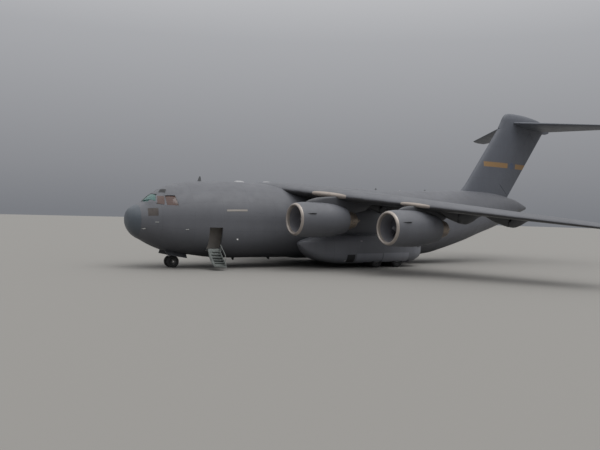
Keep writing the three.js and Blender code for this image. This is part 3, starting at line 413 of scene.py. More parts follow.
def paint(name, color, seams=None, belly=True, roughness=0.5, extra=None):
    """Matt aircraft paint: weathered, with painted shade darkening it low down, and panel seams where
    seams(graph) says.
    """
    made, shader = material(name, color, roughness)
    graph = Graph(made)
    tone = weathered(graph, color)
    # Painted shade: darker towards the ground, broken up by noise
    if belly:
        low_shade = graph.spread(graph.axis("Z"), LOWER_SIDE_SHADE["from"], LOWER_SIDE_SHADE["full"])
        low_shade = graph.math("MULTIPLY", low_shade, graph.spread(graph.noise(1.1, 5), 0.2, 0.6, 0.8, 1.0))
        tone = graph.mix(low_shade, tone, BELLY)
    if extra:
        tone = extra(graph, tone)
    if seams:
        mask = seams(graph)
        tone = graph.mix(graph.math("MULTIPLY", mask, 0.55), tone, SEAM)
        grain = graph.math("MULTIPLY", graph.noise(40, 2), 0.12)
        graph.bump(shader, graph.math("SUBTRACT", grain, mask), 0.25, 0.004)
    else:
        graph.bump(shader, graph.noise(40, 2), 0.05, 0.004)
    graph.link(tone, shader.inputs["Base Color"])
    gloss = graph.spread(graph.noise(3, 4), 0.3, 0.7, roughness - 0.06, roughness + 0.08)
    graph.link(gloss, shader.inputs["Roughness"])
    return made


def skin_seams(graph):
    """Frames along the hull, and stringers round it."""
    rings = graph.lines(graph.axis("X"), FRAME_STEP, SEAM_WIDTH)
    rows = graph.lines(graph.attribute("around"), STRINGER_STEP, SEAM_WIDTH)
    return graph.math("MAXIMUM", rings, rows)


def aerofoil_seams(graph):
    """Spars at fixed shares of the chord, and ribs along the span."""
    share = graph.attribute("share")
    mask = graph.lines(graph.attribute("span"), RIB_STEP, SEAM_WIDTH)
    for place in SPAR_SHARES:
        mask = graph.math("MAXIMUM", mask, graph.at_value(share, place, 0.0012))
    return mask


def cowl_seams(graph):
    """Joints round a fan cowl."""
    return graph.lines(graph.attribute("along"), COWL_STEP, 0.006)


def plain_material(name, color, roughness, metallic=0.0, grain=30, contrast=0.08, bump=0.05):
    """A finish with mottled colour, uneven gloss and a fine surface grain."""
    made, shader = material(name, color, roughness, metallic)
    graph = Graph(made)
    dark, light = shaded(color, 1 - contrast), shaded(color, 1 + contrast)
    graph.link(graph.mix(graph.spread(graph.noise(4, 4), 0.3, 0.7), dark, light), shader.inputs["Base Color"])
    gloss = graph.spread(graph.noise(grain / 4, 3), 0.3, 0.7, roughness * 0.85, min(roughness * 1.15, 1))
    graph.link(gloss, shader.inputs["Roughness"])
    graph.bump(shader, graph.noise(grain, 3), bump, 0.003)
    return made


def glass(name, color, opaque=0.9, coat=0.4):
    made, shader = material(name, color, 0.06)
    shader.inputs["Alpha"].default_value = opaque
    shader.inputs["Coat Weight"].default_value = coat
    graph = Graph(made)
    graph.link(graph.spread(graph.noise(3, 2), 0.3, 0.7, 0.04, 0.12), shader.inputs["Roughness"])
    return made


def heat_stained():
    """Exhaust metal: brown and straw heat tints along the jet."""
    made, shader = material("exhaust_metal", (0.26, 0.21, 0.17), 0.45, 0.75)
    graph = Graph(made)
    tint = graph.noise(2.4, 5, stretch=(0.6, 2, 2))
    tone = graph.mix(graph.spread(tint, 0.35, 0.65), (0.15, 0.125, 0.11), (0.38, 0.31, 0.24))
    tone = graph.mix(graph.spread(graph.noise(14, 3), 0.55, 0.75), tone, (0.08, 0.075, 0.07))
    graph.link(tone, shader.inputs["Base Color"])
    graph.bump(shader, graph.noise(30, 3), 0.1, 0.003)
    return made


def flank_shade(graph, tone):
    """Painted shade on the hull's side below the wing's root."""
    along = graph.within(graph.axis("X"), *SHADE["x"], soft=1.2)
    up = graph.within(graph.axis("Z"), *SHADE["z"], soft=0.12)
    mask = graph.math("MULTIPLY", graph.math("MULTIPLY", along, up), SHADE["strength"])
    return graph.mix(mask, tone, PAINTED_SHADE)


def under_shade(graph, tone):
    """Painted shade on a surface's underside."""
    return graph.mix(graph.math("MULTIPLY", graph.attribute("under"), UNDERSIDE_SHADE), tone, PAINTED_SHADE)


def fin_band(graph, tone):
    """A gold band across the fin, broken by a plain blue disc."""
    x, z = graph.axis("X"), graph.axis("Z")
    high = graph.within(z, *BAND["z"])
    for low, up in BAND["x"]:
        mask = graph.math("MULTIPLY", high, graph.within(x, low, up))
        tone = graph.mix(graph.math("MULTIPLY", mask, BAND["strength"]), tone, BAND["gold"])
    far = graph.math("POWER", graph.math("SUBTRACT", x, BAND["disc"][0]), 2.0)
    far = graph.math("ADD", far, graph.math("POWER", graph.math("SUBTRACT", z, BAND["disc"][1]), 2.0))
    rim = BAND["radius"] ** 2
    return graph.mix(graph.spread(far, rim + BAND["soft"], rim - BAND["soft"]), tone, BAND["blue"])


MATERIALS = {
    "skin": paint("skin_paint", GREY, skin_seams, extra=flank_shade),
    "foil": paint("wing_paint", shaded(GREY, 0.98), aerofoil_seams, belly=False, extra=under_shade),
    "fin": paint("fin_paint", FIN_GREY, aerofoil_seams, belly=False, extra=fin_band),
    "edge": plain_material("leading_edge_metal", (0.37, 0.325, 0.29), 0.45, 0.3, grain=50),
    "frame": paint("frame_paint", shaded(GREY, 1.1), belly=False),
    "pod": paint("pod_paint", shaded(GREY, 1.4), skin_seams, belly=False),
    "pod_door": paint("pod_door_paint", shaded(GREY, 2.3), belly=False),
    "radome": paint("radome_paint", (0.076, 0.091, 0.108), roughness=0.42),
    "cowl": paint("cowl_paint", shaded(GREY, 1.02), cowl_seams, belly=False),
    "lip": plain_material("lip_metal", (0.37, 0.33, 0.3), 0.42, 0.4, grain=60, contrast=0.1),
    "hot": heat_stained(),
    "fan": plain_material("fan_metal", (0.16, 0.162, 0.185), 0.45, 0.5),
    "spinner": plain_material("spinner_paint", (0.1, 0.1, 0.112), 0.4),
    "windshield": glass("windshield_glass", (0.035, 0.13, 0.118), 0.85, 0.3),
    "side_glass": glass("side_glass", (0.085, 0.046, 0.037), 0.96, 0.2),
    "red_lens": glass("red_lens", (0.5, 0.03, 0.02)),
    "green_lens": glass("green_lens", (0.02, 0.35, 0.12)),
    "nose_plate": plain_material("nose_plate", (0.06, 0.05, 0.046), 0.6, grain=60, contrast=0.25),
    "trim": plain_material("cabin_trim", (0.42, 0.39, 0.36), 0.8, grain=80),
    "floor": plain_material(
        "cargo_floor_metal", (0.17, 0.18, 0.18), 0.6, 0.4, grain=70, contrast=0.2, bump=0.2,
    ),
    "leg": plain_material("leg_paint", (0.5, 0.52, 0.51), 0.4, grain=50),
    "chrome": plain_material("piston_chrome", (0.7, 0.7, 0.7), 0.15, 1.0, contrast=0.03, bump=0.01),
    "tyre": plain_material("tyre_rubber", (0.018, 0.018, 0.019), 0.85, grain=120, contrast=0.3, bump=0.3),
    "duct": plain_material("duct_lining", (0.19, 0.19, 0.21), 0.6, grain=80),
    # The pylons' paint is the hull's grey darkened, as painted shade under the wing
    "pylon": paint("pylon_paint", shaded(GREY, 0.62), belly=False),
    # The hinge fairings' paint is the hull's grey darkened to a third: painted shade from the wing and flaps
    # over them, and exhaust soot
    "fairing": paint("fairing_paint", shaded(GREY, 0.34), belly=False),
    "hub": plain_material("wheel_hub", (0.14, 0.145, 0.15), 0.5, 0.3),
    "stair": plain_material("stair_paint", (0.16, 0.175, 0.167), 0.6, grain=60, contrast=0.15),
    "tread": plain_material("tread_grip", (0.12, 0.13, 0.125), 0.85, grain=140, contrast=0.3, bump=0.3),
    "rail": plain_material("rail_metal", (0.4, 0.4, 0.38), 0.35, 0.5),
    "strip": plain_material("formation_strip", (0.3, 0.275, 0.25), 0.5, contrast=0.04),
    "screen": plain_material("panel_screen", (0.02, 0.04, 0.045), 0.15),
    "cushion": plain_material("seat_cover", (0.09, 0.085, 0.08), 0.9, grain=120, contrast=0.2, bump=0.2),
    "pale": plain_material("pale_fitting", (0.36, 0.36, 0.37), 0.5, contrast=0.06),
    "lens": plain_material("lamp_lens", (0.8, 0.8, 0.78), 0.2, contrast=0.03),
    "dark": plain_material("dark_opening", (0.02, 0.021, 0.023), 0.7),
}


# Pieces


def finish_piece(name, mesh, materials, body, zones=None, sharp=None):
    """An object that rides on a CAD body. zones gives each face's material, sharp an angle in degrees."""
    for key in materials:
        mesh.materials.append(MATERIALS[key])
    if zones is not None:
        mesh.polygons.foreach_set("material_index", zones)
    mesh.update()
    mesh.shade_smooth()
    if sharp:
        mesh.set_sharp_from_angle(angle=math.radians(sharp))
    made = bpy.data.objects.new(name, mesh)
    bpy.context.scene.collection.objects.link(made)
    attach(made, body)
    return made


def store(mesh, name, values):
    """Keeps one number for each vertex, for a material to read."""
    layer = mesh.attributes.new(name, "FLOAT", "POINT")
    layer.data.foreach_set("value", np.asarray(values, np.float32))


def points_of(mesh):
    flat = np.empty(len(mesh.vertices) * 3)
    mesh.vertices.foreach_get("co", flat)
    return flat.reshape(-1, 3)


def grid_faces(rows, columns, closed=True, start=0):
    """Quads between rows of points, and round each row where it is closed."""
    last = columns if closed else columns - 1
    return [
        (start + r * columns + c, start + r * columns + (c + 1) % columns,
         start + (r + 1) * columns + (c + 1) % columns, start + (r + 1) * columns + c)
        for r in range(rows - 1) for c in range(last)
    ]


def cad_body(node):
    return frame["nodes"][node]["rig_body"]


def cad_copy(node):
    """The CAD node's mesh as a bmesh with its corners merged."""
    bm = bmesh.new()
    bm.from_mesh(frame["nodes"][node].data)
    bmesh.ops.remove_doubles(bm, verts=bm.verts, dist=1e-5)
    return bm


def bisect(bm, point, normal, faces=None):
    """Splits the faces, or all of them, where a plane in the model crosses them."""
    chosen = bm.faces[:] if faces is None else faces
    edges = {edge for face in chosen for edge in face.edges}
    verts = {vert for face in chosen for vert in face.verts}
    geometry = [*verts, *edges, *chosen]
    bmesh.ops.bisect_plane(bm, geom=geometry, dist=1e-6, plane_co=point, plane_no=normal)


def smooth_normals(mesh, form):
    """Shades the outer skin as the smooth form it follows, and every other face flat."""
    points = full_size(points_of(mesh))
    wanted = form.normals(points)
    on_skin = np.abs(form.level(points)) < 0.002
    corners = np.empty(len(mesh.loops), np.int32)
    mesh.loops.foreach_get("vertex_index", corners)
    counts, flat = np.empty(len(mesh.polygons), np.int32), np.empty(len(mesh.polygons) * 3)
    mesh.polygons.foreach_get("loop_total", counts)
    mesh.polygons.foreach_get("normal", flat)
    face = np.repeat(np.arange(len(counts)), counts)
    face_normal = flat.reshape(-1, 3)[face]
    facing = (face_normal * wanted[corners]).sum(axis=1) > 0.8
    outer = np.ones(len(counts), bool)
    np.logical_and.at(outer, face, on_skin[corners] & facing)
    normals = np.where(outer[face][:, None], wanted[corners], face_normal)
    mesh.normals_split_custom_set(normals.tolist())


def bmesh_piece(name, bm, form, materials, body, zones=None, attributes=None):
    """Finishes a refined CAD copy: rounds it to the smooth form and stores its attributes."""
    mesh = bpy.data.meshes.new(name)
    bm.normal_update()
    bm.to_mesh(mesh)
    bm.free()
    before = full_size(points_of(mesh))
    after = form.warp(before)
    mesh.vertices.foreach_set("co", model_size(after).ravel())
    for key, values in (attributes(after) if attributes else {}).items():
        store(mesh, key, values)
    mesh.update()
    index = zones(mesh) if zones else None
    made = finish_piece(name, mesh, materials, body, index)
    smooth_normals(mesh, form)
    return made


# Fuselage

HULL_HALF = 3.43
SPOKES, PANE_SPOKES = 70, 140  # planes through the hull's middle that refine it, and its panes
END_ROOM = 0.02  # a plane across a piece lies at least this far from its ends
RADOME_TIP = [0, 3.95, 3.93, 3.94, 0.01, 2]  # the first station, drawn in to close the cap
RADOME_GRID = {"rows": 30, "columns": 96}
# Pieces of the hull: node, planes across it from, to and apart, materials outside and inside, slot
HULL_PARTS = [
    ("cockpit_shell", (0.9, 5.2, 0.14), ("skin", "trim"), "grey_paint"),
    ("fuselage_forward", (5.3, 12.8, 0.3), ("skin", "trim"), "grey_paint"),
    ("fuselage_centre", None, ("skin", "trim"), "grey_paint"),
    ("fuselage_aft", (29.5, 45.4, 0.4), ("skin", "trim"), "grey_paint"),
    ("tail_cone", (45.6, 48.8, 0.2), ("skin",), "grey_paint"),
    ("side_door_left", None, ("skin", "trim"), "grey_paint"),
    ("side_door_right", None, ("skin", "trim"), "grey_paint"),
    ("cargo_ramp", (29.6, 35.4, 0.4), ("skin", "floor"), "belly_paint"),
    ("cargo_door", (34, 41.4, 0.4), ("skin", "trim"), "belly_paint"),
]
# Panes: node, piece, planes across it from, to and apart, material
HULL_PANES = [
    ("windshield", "windshield_pane", (1, 2.6, 0.07), "windshield"),
    ("side_window_left", "side_pane_left", (1.9, 3.7, 0.1), "side_glass"),
    ("side_window_right", "side_pane_right", (1.9, 3.7, 0.1), "side_glass"),
]


def around(points):
    """Distance round the section from the crown, as if the hull were as wide all along, in model metres."""
    section = FUSELAGE.smooth(points[:, 0])
    angle = np.arctan2(np.abs(points[:, 1]), points[:, 2] - section[2])
    return angle * HULL_HALF * SCALE


def inner_faces(mesh):
    """1 for faces that look towards the hull's middle, and 0 for the others."""
    count = len(mesh.polygons)
    normal, centre = np.empty(count * 3), np.empty(count * 3)
    mesh.polygons.foreach_get("normal", normal)
    mesh.polygons.foreach_get("center", centre)
    normal, centre = normal.reshape(-1, 3), full_size(centre.reshape(-1, 3))
    section = FUSELAGE.smooth(centre[:, 0])
    height = centre[:, 2] - section[2]
    inward = normal[:, 1] * centre[:, 1] + normal[:, 2] * height < 0
    reach = FUSELAGE.reach(section, np.arctan2(height, centre[:, 1]))
    near_skin = np.hypot(centre[:, 1], height) > 0.985 * reach
    return (inward & ~near_skin).astype(np.int32)


def spokes(bm, start, end, count):
    """Refines a hull with planes through the line from start to end."""
    along = (end - start).normalized()
    upright = along.cross(Vector((0, 1, 0))).normalized()
    for i in range(count):
        angle = math.pi * (i + 0.5) / count
        normal = Vector((0, 1, 0)) * math.sin(angle) + upright * math.cos(angle)
        bisect(bm, start, normal)


def steps(start, stop, step):
    return [start + step * i for i in range(int((stop - start) / step) + 1)]


def hull_skin(node, name, planes, materials, count):
    """A CAD piece of the hull with its flat sides made round."""
    bm = cad_copy(node)
    low, high = (full_size([corner])[0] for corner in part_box(node))
    for x in steps(*planes) if planes else []:
        if low[0] + END_ROOM < x < high[0] - END_ROOM:
            bisect(bm, at(x, 0, 0), (1, 0, 0))
    ends = [at(x, 0, FUSELAGE.smooth(np.array([x]))[2, 0]) for x in (low[0], high[0])]
    spokes(bm, *ends, count)
    made = bmesh_piece(
        name, bm, FUSELAGE, materials, cad_body(node),
        zones=inner_faces if len(materials) > 1 else None,
        attributes=lambda points: {"around": around(points)},
    )
    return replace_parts(made, node)


def radome():
    """The nose cone as one round cap, from its tip back, with its rings at even steps of the root of x."""
    rows, columns = RADOME_GRID["rows"], RADOME_GRID["columns"]
    root = STATIONS[:6].copy()
    root[0] = RADOME_TIP
    root[:, 0] = np.sqrt(root[:, 0])
    turn = turns(columns)
    c, w = np.cos(turn), np.sin(turn)
    above = w >= 0
    verts = []
    for s in np.linspace(0.02, math.sqrt(RADOME_END - 0.001), rows):
        crown, belly, widest, half, square = row_at(root, s)
        y = half * np.where(above, c, np.sign(c) * np.abs(c) ** (2 / square))
        z = widest + np.where(above, (crown - widest) * w, -(widest - belly) * np.abs(w) ** (2 / square))
        verts += list(zip(np.full(columns, s * s), y, z))
    faces = grid_faces(rows, columns)
    faces += [tuple(range(columns))[::-1], tuple(range((rows - 1) * columns, rows * columns))]
    Build().add(verts, faces, "radome").finish("radome_skin", slot="radome_paint", replaces=("radome",))


def fuselage():
    radome()
    for node, planes, materials, slot in HULL_PARTS:
        hull_skin(node, f"{node}_skin", planes, materials, SPOKES)
    for node, name, planes, key in HULL_PANES:
        hull_skin(node, name, planes, (key,), PANE_SPOKES)


def gear_pods():
    for side, sign in (("left", -1), ("right", 1)):
        form = pod_form(sign)
        node = f"gear_pod_{side}"
        bm = cad_copy(node)
        front, rear, height = POD[0, 0], POD[-1, 0], POD[:, 3].min()
        for x in steps(*POD_PLANES):
            bisect(bm, at(x, 0, 0), (1, 0, 0))
        spokes(bm, at(front, sign * POD_MIDDLE, height), at(rear, sign * POD_MIDDLE, height), POD_SPOKES)
        made = bmesh_piece(
            f"{node}_skin", bm, form, ("pod",), "airframe",
            attributes=lambda points: {"around": points[:, 2] * SCALE},
        )
        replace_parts(made, node)


# Parts built up into one piece


def chaikin(path, rounds=3):
    """An open path whose corners are cut round after round."""
    path = np.asarray(path, float)
    for _ in range(rounds):
        a, b = path[:-1], path[1:]
        cut = np.stack([0.75 * a + 0.25 * b, 0.25 * a + 0.75 * b], axis=1).reshape(-1, path.shape[1])
        path = np.vstack([path[:1], cut, path[-1:]])
    return path


# Each axis and the two across it
AXES = {
    "x": np.array([[1, 0, 0], [0, 1, 0], [0, 0, 1]], float),
    "y": np.array([[0, 1, 0], [0, 0, 1], [1, 0, 0]], float),
    "z": np.array([[0, 0, 1], [1, 0, 0], [0, 1, 0]], float),
}


def frame_along(direction):
    """Three axes, of which the first points along the direction."""
    ahead = np.asarray(direction, float)
    ahead = ahead / np.linalg.norm(ahead)
    side = np.cross(ahead, [0, 0, 1] if abs(ahead[2]) < 0.9 else [0, 1, 0])
    side /= np.linalg.norm(side)
    return np.array([ahead, side, np.cross(ahead, side)])


class Build:
    """Closed parts in full-size metres, each with its material, that make one piece together."""

    def __init__(self):
        self.verts, self.faces, self.zones, self.materials = [], [], [], []

    def add(self, verts, faces, key):
        if key not in self.materials:
            self.materials.append(key)
        start = len(self.verts)
        self.verts += [tuple(v) for v in verts]
        self.faces += [tuple(start + i for i in face) for face in faces]
        self.zones += [self.materials.index(key)] * len(faces)
        return self

    def loft(self, rings, key, ends=None):
        """Rings of points joined in turn and capped, with another material on the caps if ends names one."""
        rings = [np.asarray(ring, float) for ring in rings]
        columns = len(rings[0])
        self.add(np.vstack(rings), grid_faces(len(rings), columns), key)
        for ring in (rings[0][::-1], rings[-1]):
            self.add(ring, [tuple(range(columns))], ends or key)
        return self

    def turned(self, path, place, axis, key, columns=40):
        """A body turned from (along, radius) points about an axis through place."""
        axes = AXES[axis] if isinstance(axis, str) else frame_along(axis)
        turn = turns(columns)
        spin = np.cos(turn)[:, None] * axes[1] + np.sin(turn)[:, None] * axes[2]
        rings = [np.asarray(place) + along * axes[0] + max(radius, 0.001) * spin for along, radius in path]
        return self.loft(rings, key)

    def rod(self, start, end, radius, key, columns=14, foot=None):
        """A round bar with softened ends, and another radius at its foot if it tapers."""
        start, end = np.asarray(start, float), np.asarray(end, float)
        long = np.linalg.norm(end - start)
        foot = foot or radius
        soft = min(radius, foot, long) * 0.2
        path = [(0, radius - soft), (soft, radius), (long - soft, foot), (long, foot - soft)]
        return self.turned(path, start, end - start, key, columns)

    def prism(self, outline, axis, low, high, key, soft=0.01):
        """A flat outline in the two axes after the named one, given thickness, with chamfered edges."""
        outline = np.asarray(outline, float)
        axes = AXES[axis]
        middle = outline.mean(axis=0)
        reach = np.abs(outline - middle).max(axis=0).min()
        inner = middle + (outline - middle) * (1 - soft / max(reach, soft * 2))
        soft = min(soft, (high - low) / 3)
        levels = [(low, inner), (low + soft, outline), (high - soft, outline), (high, inner)]
        rings = [along * axes[0] + ring[:, :1] * axes[1] + ring[:, 1:] * axes[2] for along, ring in levels]
        return self.loft(rings, key)

    def block(self, low, high, key, soft=0.012):
        (x0, y0, z0), (x1, y1, z1) = low, high
        return self.prism([(y0, z0), (y1, z0), (y1, z1), (y0, z1)], "x", x0, x1, key, soft)

    def tube(self, points, radius, key, sides=10):
        """A bar along a smooth line through the points."""
        path = chaikin(points, 2)
        rings = []
        for i, point in enumerate(path):
            ahead = path[min(i + 1, len(path) - 1)] - path[max(i - 1, 0)]
            axes = frame_along(ahead)
            turn = turns(sides)
            rings.append(point + radius * (np.cos(turn)[:, None] * axes[1] + np.sin(turn)[:, None] * axes[2]))
        return self.loft(rings, key)

    def finish(self, name, body="airframe", slot="grey_paint", replaces=(), sharp=35, attributes=None):
        mesh = bpy.data.meshes.new(name)
        mesh.from_pydata([tuple(p) for p in model_size(self.verts)], [], self.faces)
        mesh.polygons.foreach_set("material_index", self.zones)
        bm = bmesh.new()
        bm.from_mesh(mesh)
        bmesh.ops.remove_doubles(bm, verts=bm.verts, dist=1e-5)
        bmesh.ops.recalc_face_normals(bm, faces=bm.faces)
        bm.to_mesh(mesh)
        bm.free()
        for key, values in (attributes(full_size(points_of(mesh))) if attributes else {}).items():
            store(mesh, key, values)
        made = finish_piece(name, mesh, self.materials, body, None, sharp)
        if replaces:
            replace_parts(made, *replaces)
        return made


# Wing, fin and stabiliser

WING = {"apex": 12.6, "sweep": 0.5206, "z": 7.12, "droop": 0.115, "root": 1.2, "kink": 9, "tip": 25.15}
WING_CHORD = {"centre": 11.6, "kink": 7.83, "tip": 3.2}
WING_THICK = {"centre": 0.112, "kink": 0.126, "tip": 0.11}
INCIDENCE = {"root": 0.05, "tip": 0.005}
CAMBER = 0.012
# Winglet, from the wing's tip up: share of the way, aft shift, out, up, chord, tilt in degrees
WINGLET = np.array([
    [0, 0, 0, 0, 3.2, 0],
    [0.12, 0.06, 0.17, 0.06, 3.08, 25],
    [0.25, 0.23, 0.33, 0.3, 2.75, 55],
    [0.42, 0.52, 0.44, 0.8, 2.25, 72],
    [1, 1.56, 0.675, 2.45, 1.15, 76],
])
WINGLET_THICK = 0.1
WINGLET_BLEND = 0.12  # share of the winglet over which the wing's section turns into its own
FIN = {"lead_x": 37.85, "lead_z": 7.7, "slope": 0.76, "chord": 7.95, "foot": 7.0, "top": 15.5, "thick": 0.112}
FILLET = {"top": 8.9, "reach": 0.7}  # where the fin's leading edge sweeps forward into the crown
STABILISER = {
    "apex": 45.7, "z": 15.98, "sweep": 0.475, "droop": 0.045, "half": 9.905, "root": 5.9, "tip": 2.05,
    "thick": 0.105, "trim": 0.1, "pivot": 49,
}
# Fairing on the fin's top: height, nose, tail, thickness
BULLET = np.array([
    [15.5006, 43.7, 52.3, 0.86],
    [15.75, 43.85, 53.02, 0.88],
    [16.2, 44.12, 52.9, 0.88],
    [16.65, 44.35, 51.9, 0.8],
    [17, 44.6, 51, 0.62],
    [17.25, 44.9, 49.5, 0.4],
    [17.4, 45.5, 48, 0.14],
])
# Hinged surfaces: span from and to, share of the chord at the hinge, radius of the nose at each end, how
# much longer the hinge's sweep makes the nose along x, how far the ends are drawn in for each metre behind
# the hinge, and the gap round the nose
AILERON = {
    "from": 18.35, "to": 24.1, "share": 0.76, "nose": (0.23, 0.13), "lean": 1.045, "ends": (0.03, 0.08),
    "gap": 0.034,
}
ELEVATOR = {
    "from": 0.75, "to": 9.5, "share": 0.7, "nose": (0.19, 0.09), "lean": 1.02, "ends": (0.02, 0.055),
    "gap": 0.02,
}
# The rudder's ends are square to its hinge: they fall, and draw in along x, for each metre behind it
RUDDER = {
    "from": 8.7, "to": 15.2, "share": 0.7, "nose": (0.36, 0.34), "lean": 1.256, "fall": 0.4818,
    "draw": 0.634, "gap": 0.014, "end_gap": 0.03, "cap": 0.04,
}
# Flaps, as above, with the depth of the hinge below the wing, and the hinge fairings as (share of the
# span, how deep)
FLAPS = {
    "inboard": {
        "from": 4.35, "to": 8.65, "share": 0.7, "depth": 0.93, "ends": (0.015, 0.02), "gap": 0.03,
        "at": [(0.24, 1.0), (0.8, 1.0)],
    },
    "outboard": {
        "from": 9.5, "to": 17.8, "share": 0.7, "depth": 0.72, "ends": (0.015, 0.02), "gap": 0.03,
        "at": [(0.434, 1.24), (0.904, 1.0)],
    },
}
EDGE_SPANS = [(4.5, 7.4), (11.75, 13.9)]  # pale strips over the leading edges
EDGE_DEPTH = 0.022  # as a share of the chord
EDGE_PROUD = 0.004
RING_STEP = 0.45


def spanwise(values, y):
    """A value given at the wing's centre, kink and tip, at y."""
    places = [0, WING["kink"], WING["tip"]]
    return float(np.interp(y, places, [values[key] for key in ("centre", "kink", "tip")]))


def wing_twist(y):
    return INCIDENCE["root"] + (INCIDENCE["tip"] - INCIDENCE["root"]) * y / WING["tip"]


def wing_point(y, share):
    """A point of the port wing's chord plane."""
    along = spanwise(WING_CHORD, y) * share
    return np.array([
        WING["apex"] + WING["sweep"] * y + along, -y, WING["z"] - WING["droop"] * y - along * wing_twist(y),
    ])


# Each row below is an aerofoil section: nose, chord, thickness, nose-up slope, upward direction, camber


def wing_row(y):
    chord, thick = spanwise(WING_CHORD, y), spanwise(WING_THICK, y)
    return wing_point(y, 0), chord, thick, wing_twist(y), (0, 0, 1), CAMBER


def winglet_row(share):
    aft, out, rise, chord, tilt = row_at(WINGLET, share)
    tip = wing_row(WING["tip"])
    up = (0, math.sin(math.radians(tilt)), math.cos(math.radians(tilt)))
    keep = max(1 - share / WINGLET_BLEND, 0)
    thick = (WING_THICK["tip"] - WINGLET_THICK) * keep + WINGLET_THICK
    return tip[0] + [aft, -out, rise], chord, thick, tip[3] * keep, up, CAMBER * keep


def stabiliser_chord(y):
    return STABILISER["root"] + (STABILISER["tip"] - STABILISER["root"]) * y / STABILISER["half"]


def stabiliser_row(y):
    x = STABILISER["apex"] + STABILISER["sweep"] * y
    z = STABILISER["z"] - STABILISER["droop"] * y - STABILISER["trim"] * (x - STABILISER["pivot"])
    return np.array([x, -y, z]), stabiliser_chord(y), STABILISER["thick"], STABILISER["trim"], (0, 0, 1), 0


def fin_row(z):
    lead = FIN["lead_x"] + (z - FIN["lead_z"]) * FIN["slope"]
    reach = FILLET["reach"] * max((FILLET["top"] - z) / (FILLET["top"] - FIN["foot"]), 0) ** 2
    chord = FIN["chord"] + reach
    return np.array([lead - reach, 0, z]), chord, FIN["thick"] * FIN["chord"] / chord, 0, (0, 1, 0), 0


def bullet_row(z):
    nose, tail, wide = row_at(BULLET, z)
    return np.array([nose, 0, z]), tail - nose, wide / (tail - nose), 0, (0, 1, 0), 0


def half_thickness(share):
    """Half the thickness of a common symmetrical aerofoil, as a share of the whole."""
    s = np.clip(share, 0, 1)
    return 5 * (0.2969 * np.sqrt(s) - 0.126 * s - 0.3516 * s**2 + 0.2843 * s**3 - 0.098 * s**4)


def skin_half(row, along):
    return row[2] * row[1] * half_thickness(along / row[1])


def camber_line(row, along):
    return row[5] * 4 * along * (1 - along / row[1])


def nose_arc(row, hinge, radius, lean=1, count=9):
    """Points of a circle about the hinge, from the upper skin round its front to the lower one."""
    end = hinge - radius * 0.7  # a first guess of where the circle meets the skin, then brought closer
    for _ in range(4):
        half = min(skin_half(row, end), radius * 0.98)
        end = hinge - lean * math.sqrt(radius**2 - half**2)
    top = math.asin(half / radius)
    turn = np.linspace(top, -top, count)
    return hinge - lean * radius * np.cos(turn), camber_line(row, hinge) + radius * np.sin(turn)


def foil_ring(row, front=None, rear=None, skin=34):
    """One section's outline from the rear over the top to the nose and back below.

    front and rear are (distance along the chord, radius) of a nose or cove about a hinge, or (distance, None)
    for a flat end.
    """
    lead, chord, _, slope, up, _ = row
    start, stop = 0, chord
    if front:
        nose = nose_arc(row, *front) if front[1] else ([front[0]], [0])
        start = nose[0][0]
    if rear:
        cove = nose_arc(row, *rear) if rear[1] else None
        stop = cove[0][0] if rear[1] else rear[0]
    share = (1 - np.cos(np.linspace(0, np.pi / (1 if not rear else 1.6), skin)))
    share /= share[-1]
    if front:
        share = np.linspace(0, 1, skin)
    along = start + (stop - start) * share
    line, half = camber_line(row, along), skin_half(row, along)
    parts = [(along[::-1], (line + half)[::-1])]
    if front:
        parts.append((nose[0][1:-1], nose[1][1:-1]))
    parts.append((along[0 if front else 1:], (line - half)[0 if front else 1:]))
    if rear and rear[1]:
        parts.append((cove[0][-2:0:-1], cove[1][-2:0:-1]))
    along, across = (np.concatenate([part[k] for part in parts]) for k in (0, 1))
    up = np.asarray(up, float)
    return np.asarray(lead) + along[:, None] * [1, 0, 0] + (across - along * slope)[:, None] * up


def span_steps(start, stop):
    return np.linspace(start, stop, max(int(abs(stop - start) / RING_STEP) + 1, 2))


def foil_part(build, row_of, span, key, front=None, rear=None, flip=(1, 1, 1), ends=None, share=None):
    """A stretch of wing along the span. Where ends is given, the ends draw in behind the hinge's share."""
    rings = []
    for place in span:
        row = row_of(place)
        rings.append(foil_ring(row, front and front(place, row), rear and rear(place, row)))
    if ends:
        for place, ring, draw in ((span[0], rings[0], -ends[0]), (span[-1], rings[-1], ends[1])):
            row = row_of(place)
            ring[:, 1] += draw * np.maximum(ring[:, 0] - row[0][0] - share * row[1], 0)
    build.loft([ring * flip for ring in rings], key)


def edge_strip(build, start, stop, flip):
    """A pale strip over the wing's leading edge, tapering away at both ends."""
    rings = []
    for y in np.linspace(start, stop, 20):
        row = wing_row(y)
        deep = EDGE_DEPTH * row[1] * max(math.sin(math.pi * (y - start) / (stop - start)), 0.02) ** 0.4
        along = deep * np.array([1, 0.7, 0.42, 0.2, 0.06, 0])
        line, half = camber_line(row, along), skin_half(row, along) + EDGE_PROUD
        along = np.concatenate([along, along[-2::-1]]) - 0.003
        across = np.concatenate([line + half, (line - half)[-2::-1]])
        ring = row[0] + along[:, None] * [1, 0, 0] + (across - along * row[3])[:, None] * [0, 0, 1]
        rings.append(ring * flip)
    build.loft(rings, "edge")


def about(hinge, gap=0.0):
    """The nose or cove about a hinged surface's line, at each place along its span."""
    def at_place(place, row):
        share = (place - hinge["from"]) / (hinge["to"] - hinge["from"])
        radius = hinge["nose"][0] + (hinge["nose"][1] - hinge["nose"][0]) * share
        return hinge["share"] * row[1], radius + gap, hinge["lean"]
    return at_place


def rudder_line(row):
    """The rudder's hinge behind the section's nose, also where the fillet lengthens the chord."""
    return row[1] - (1 - RUDDER["share"]) * FIN["chord"]


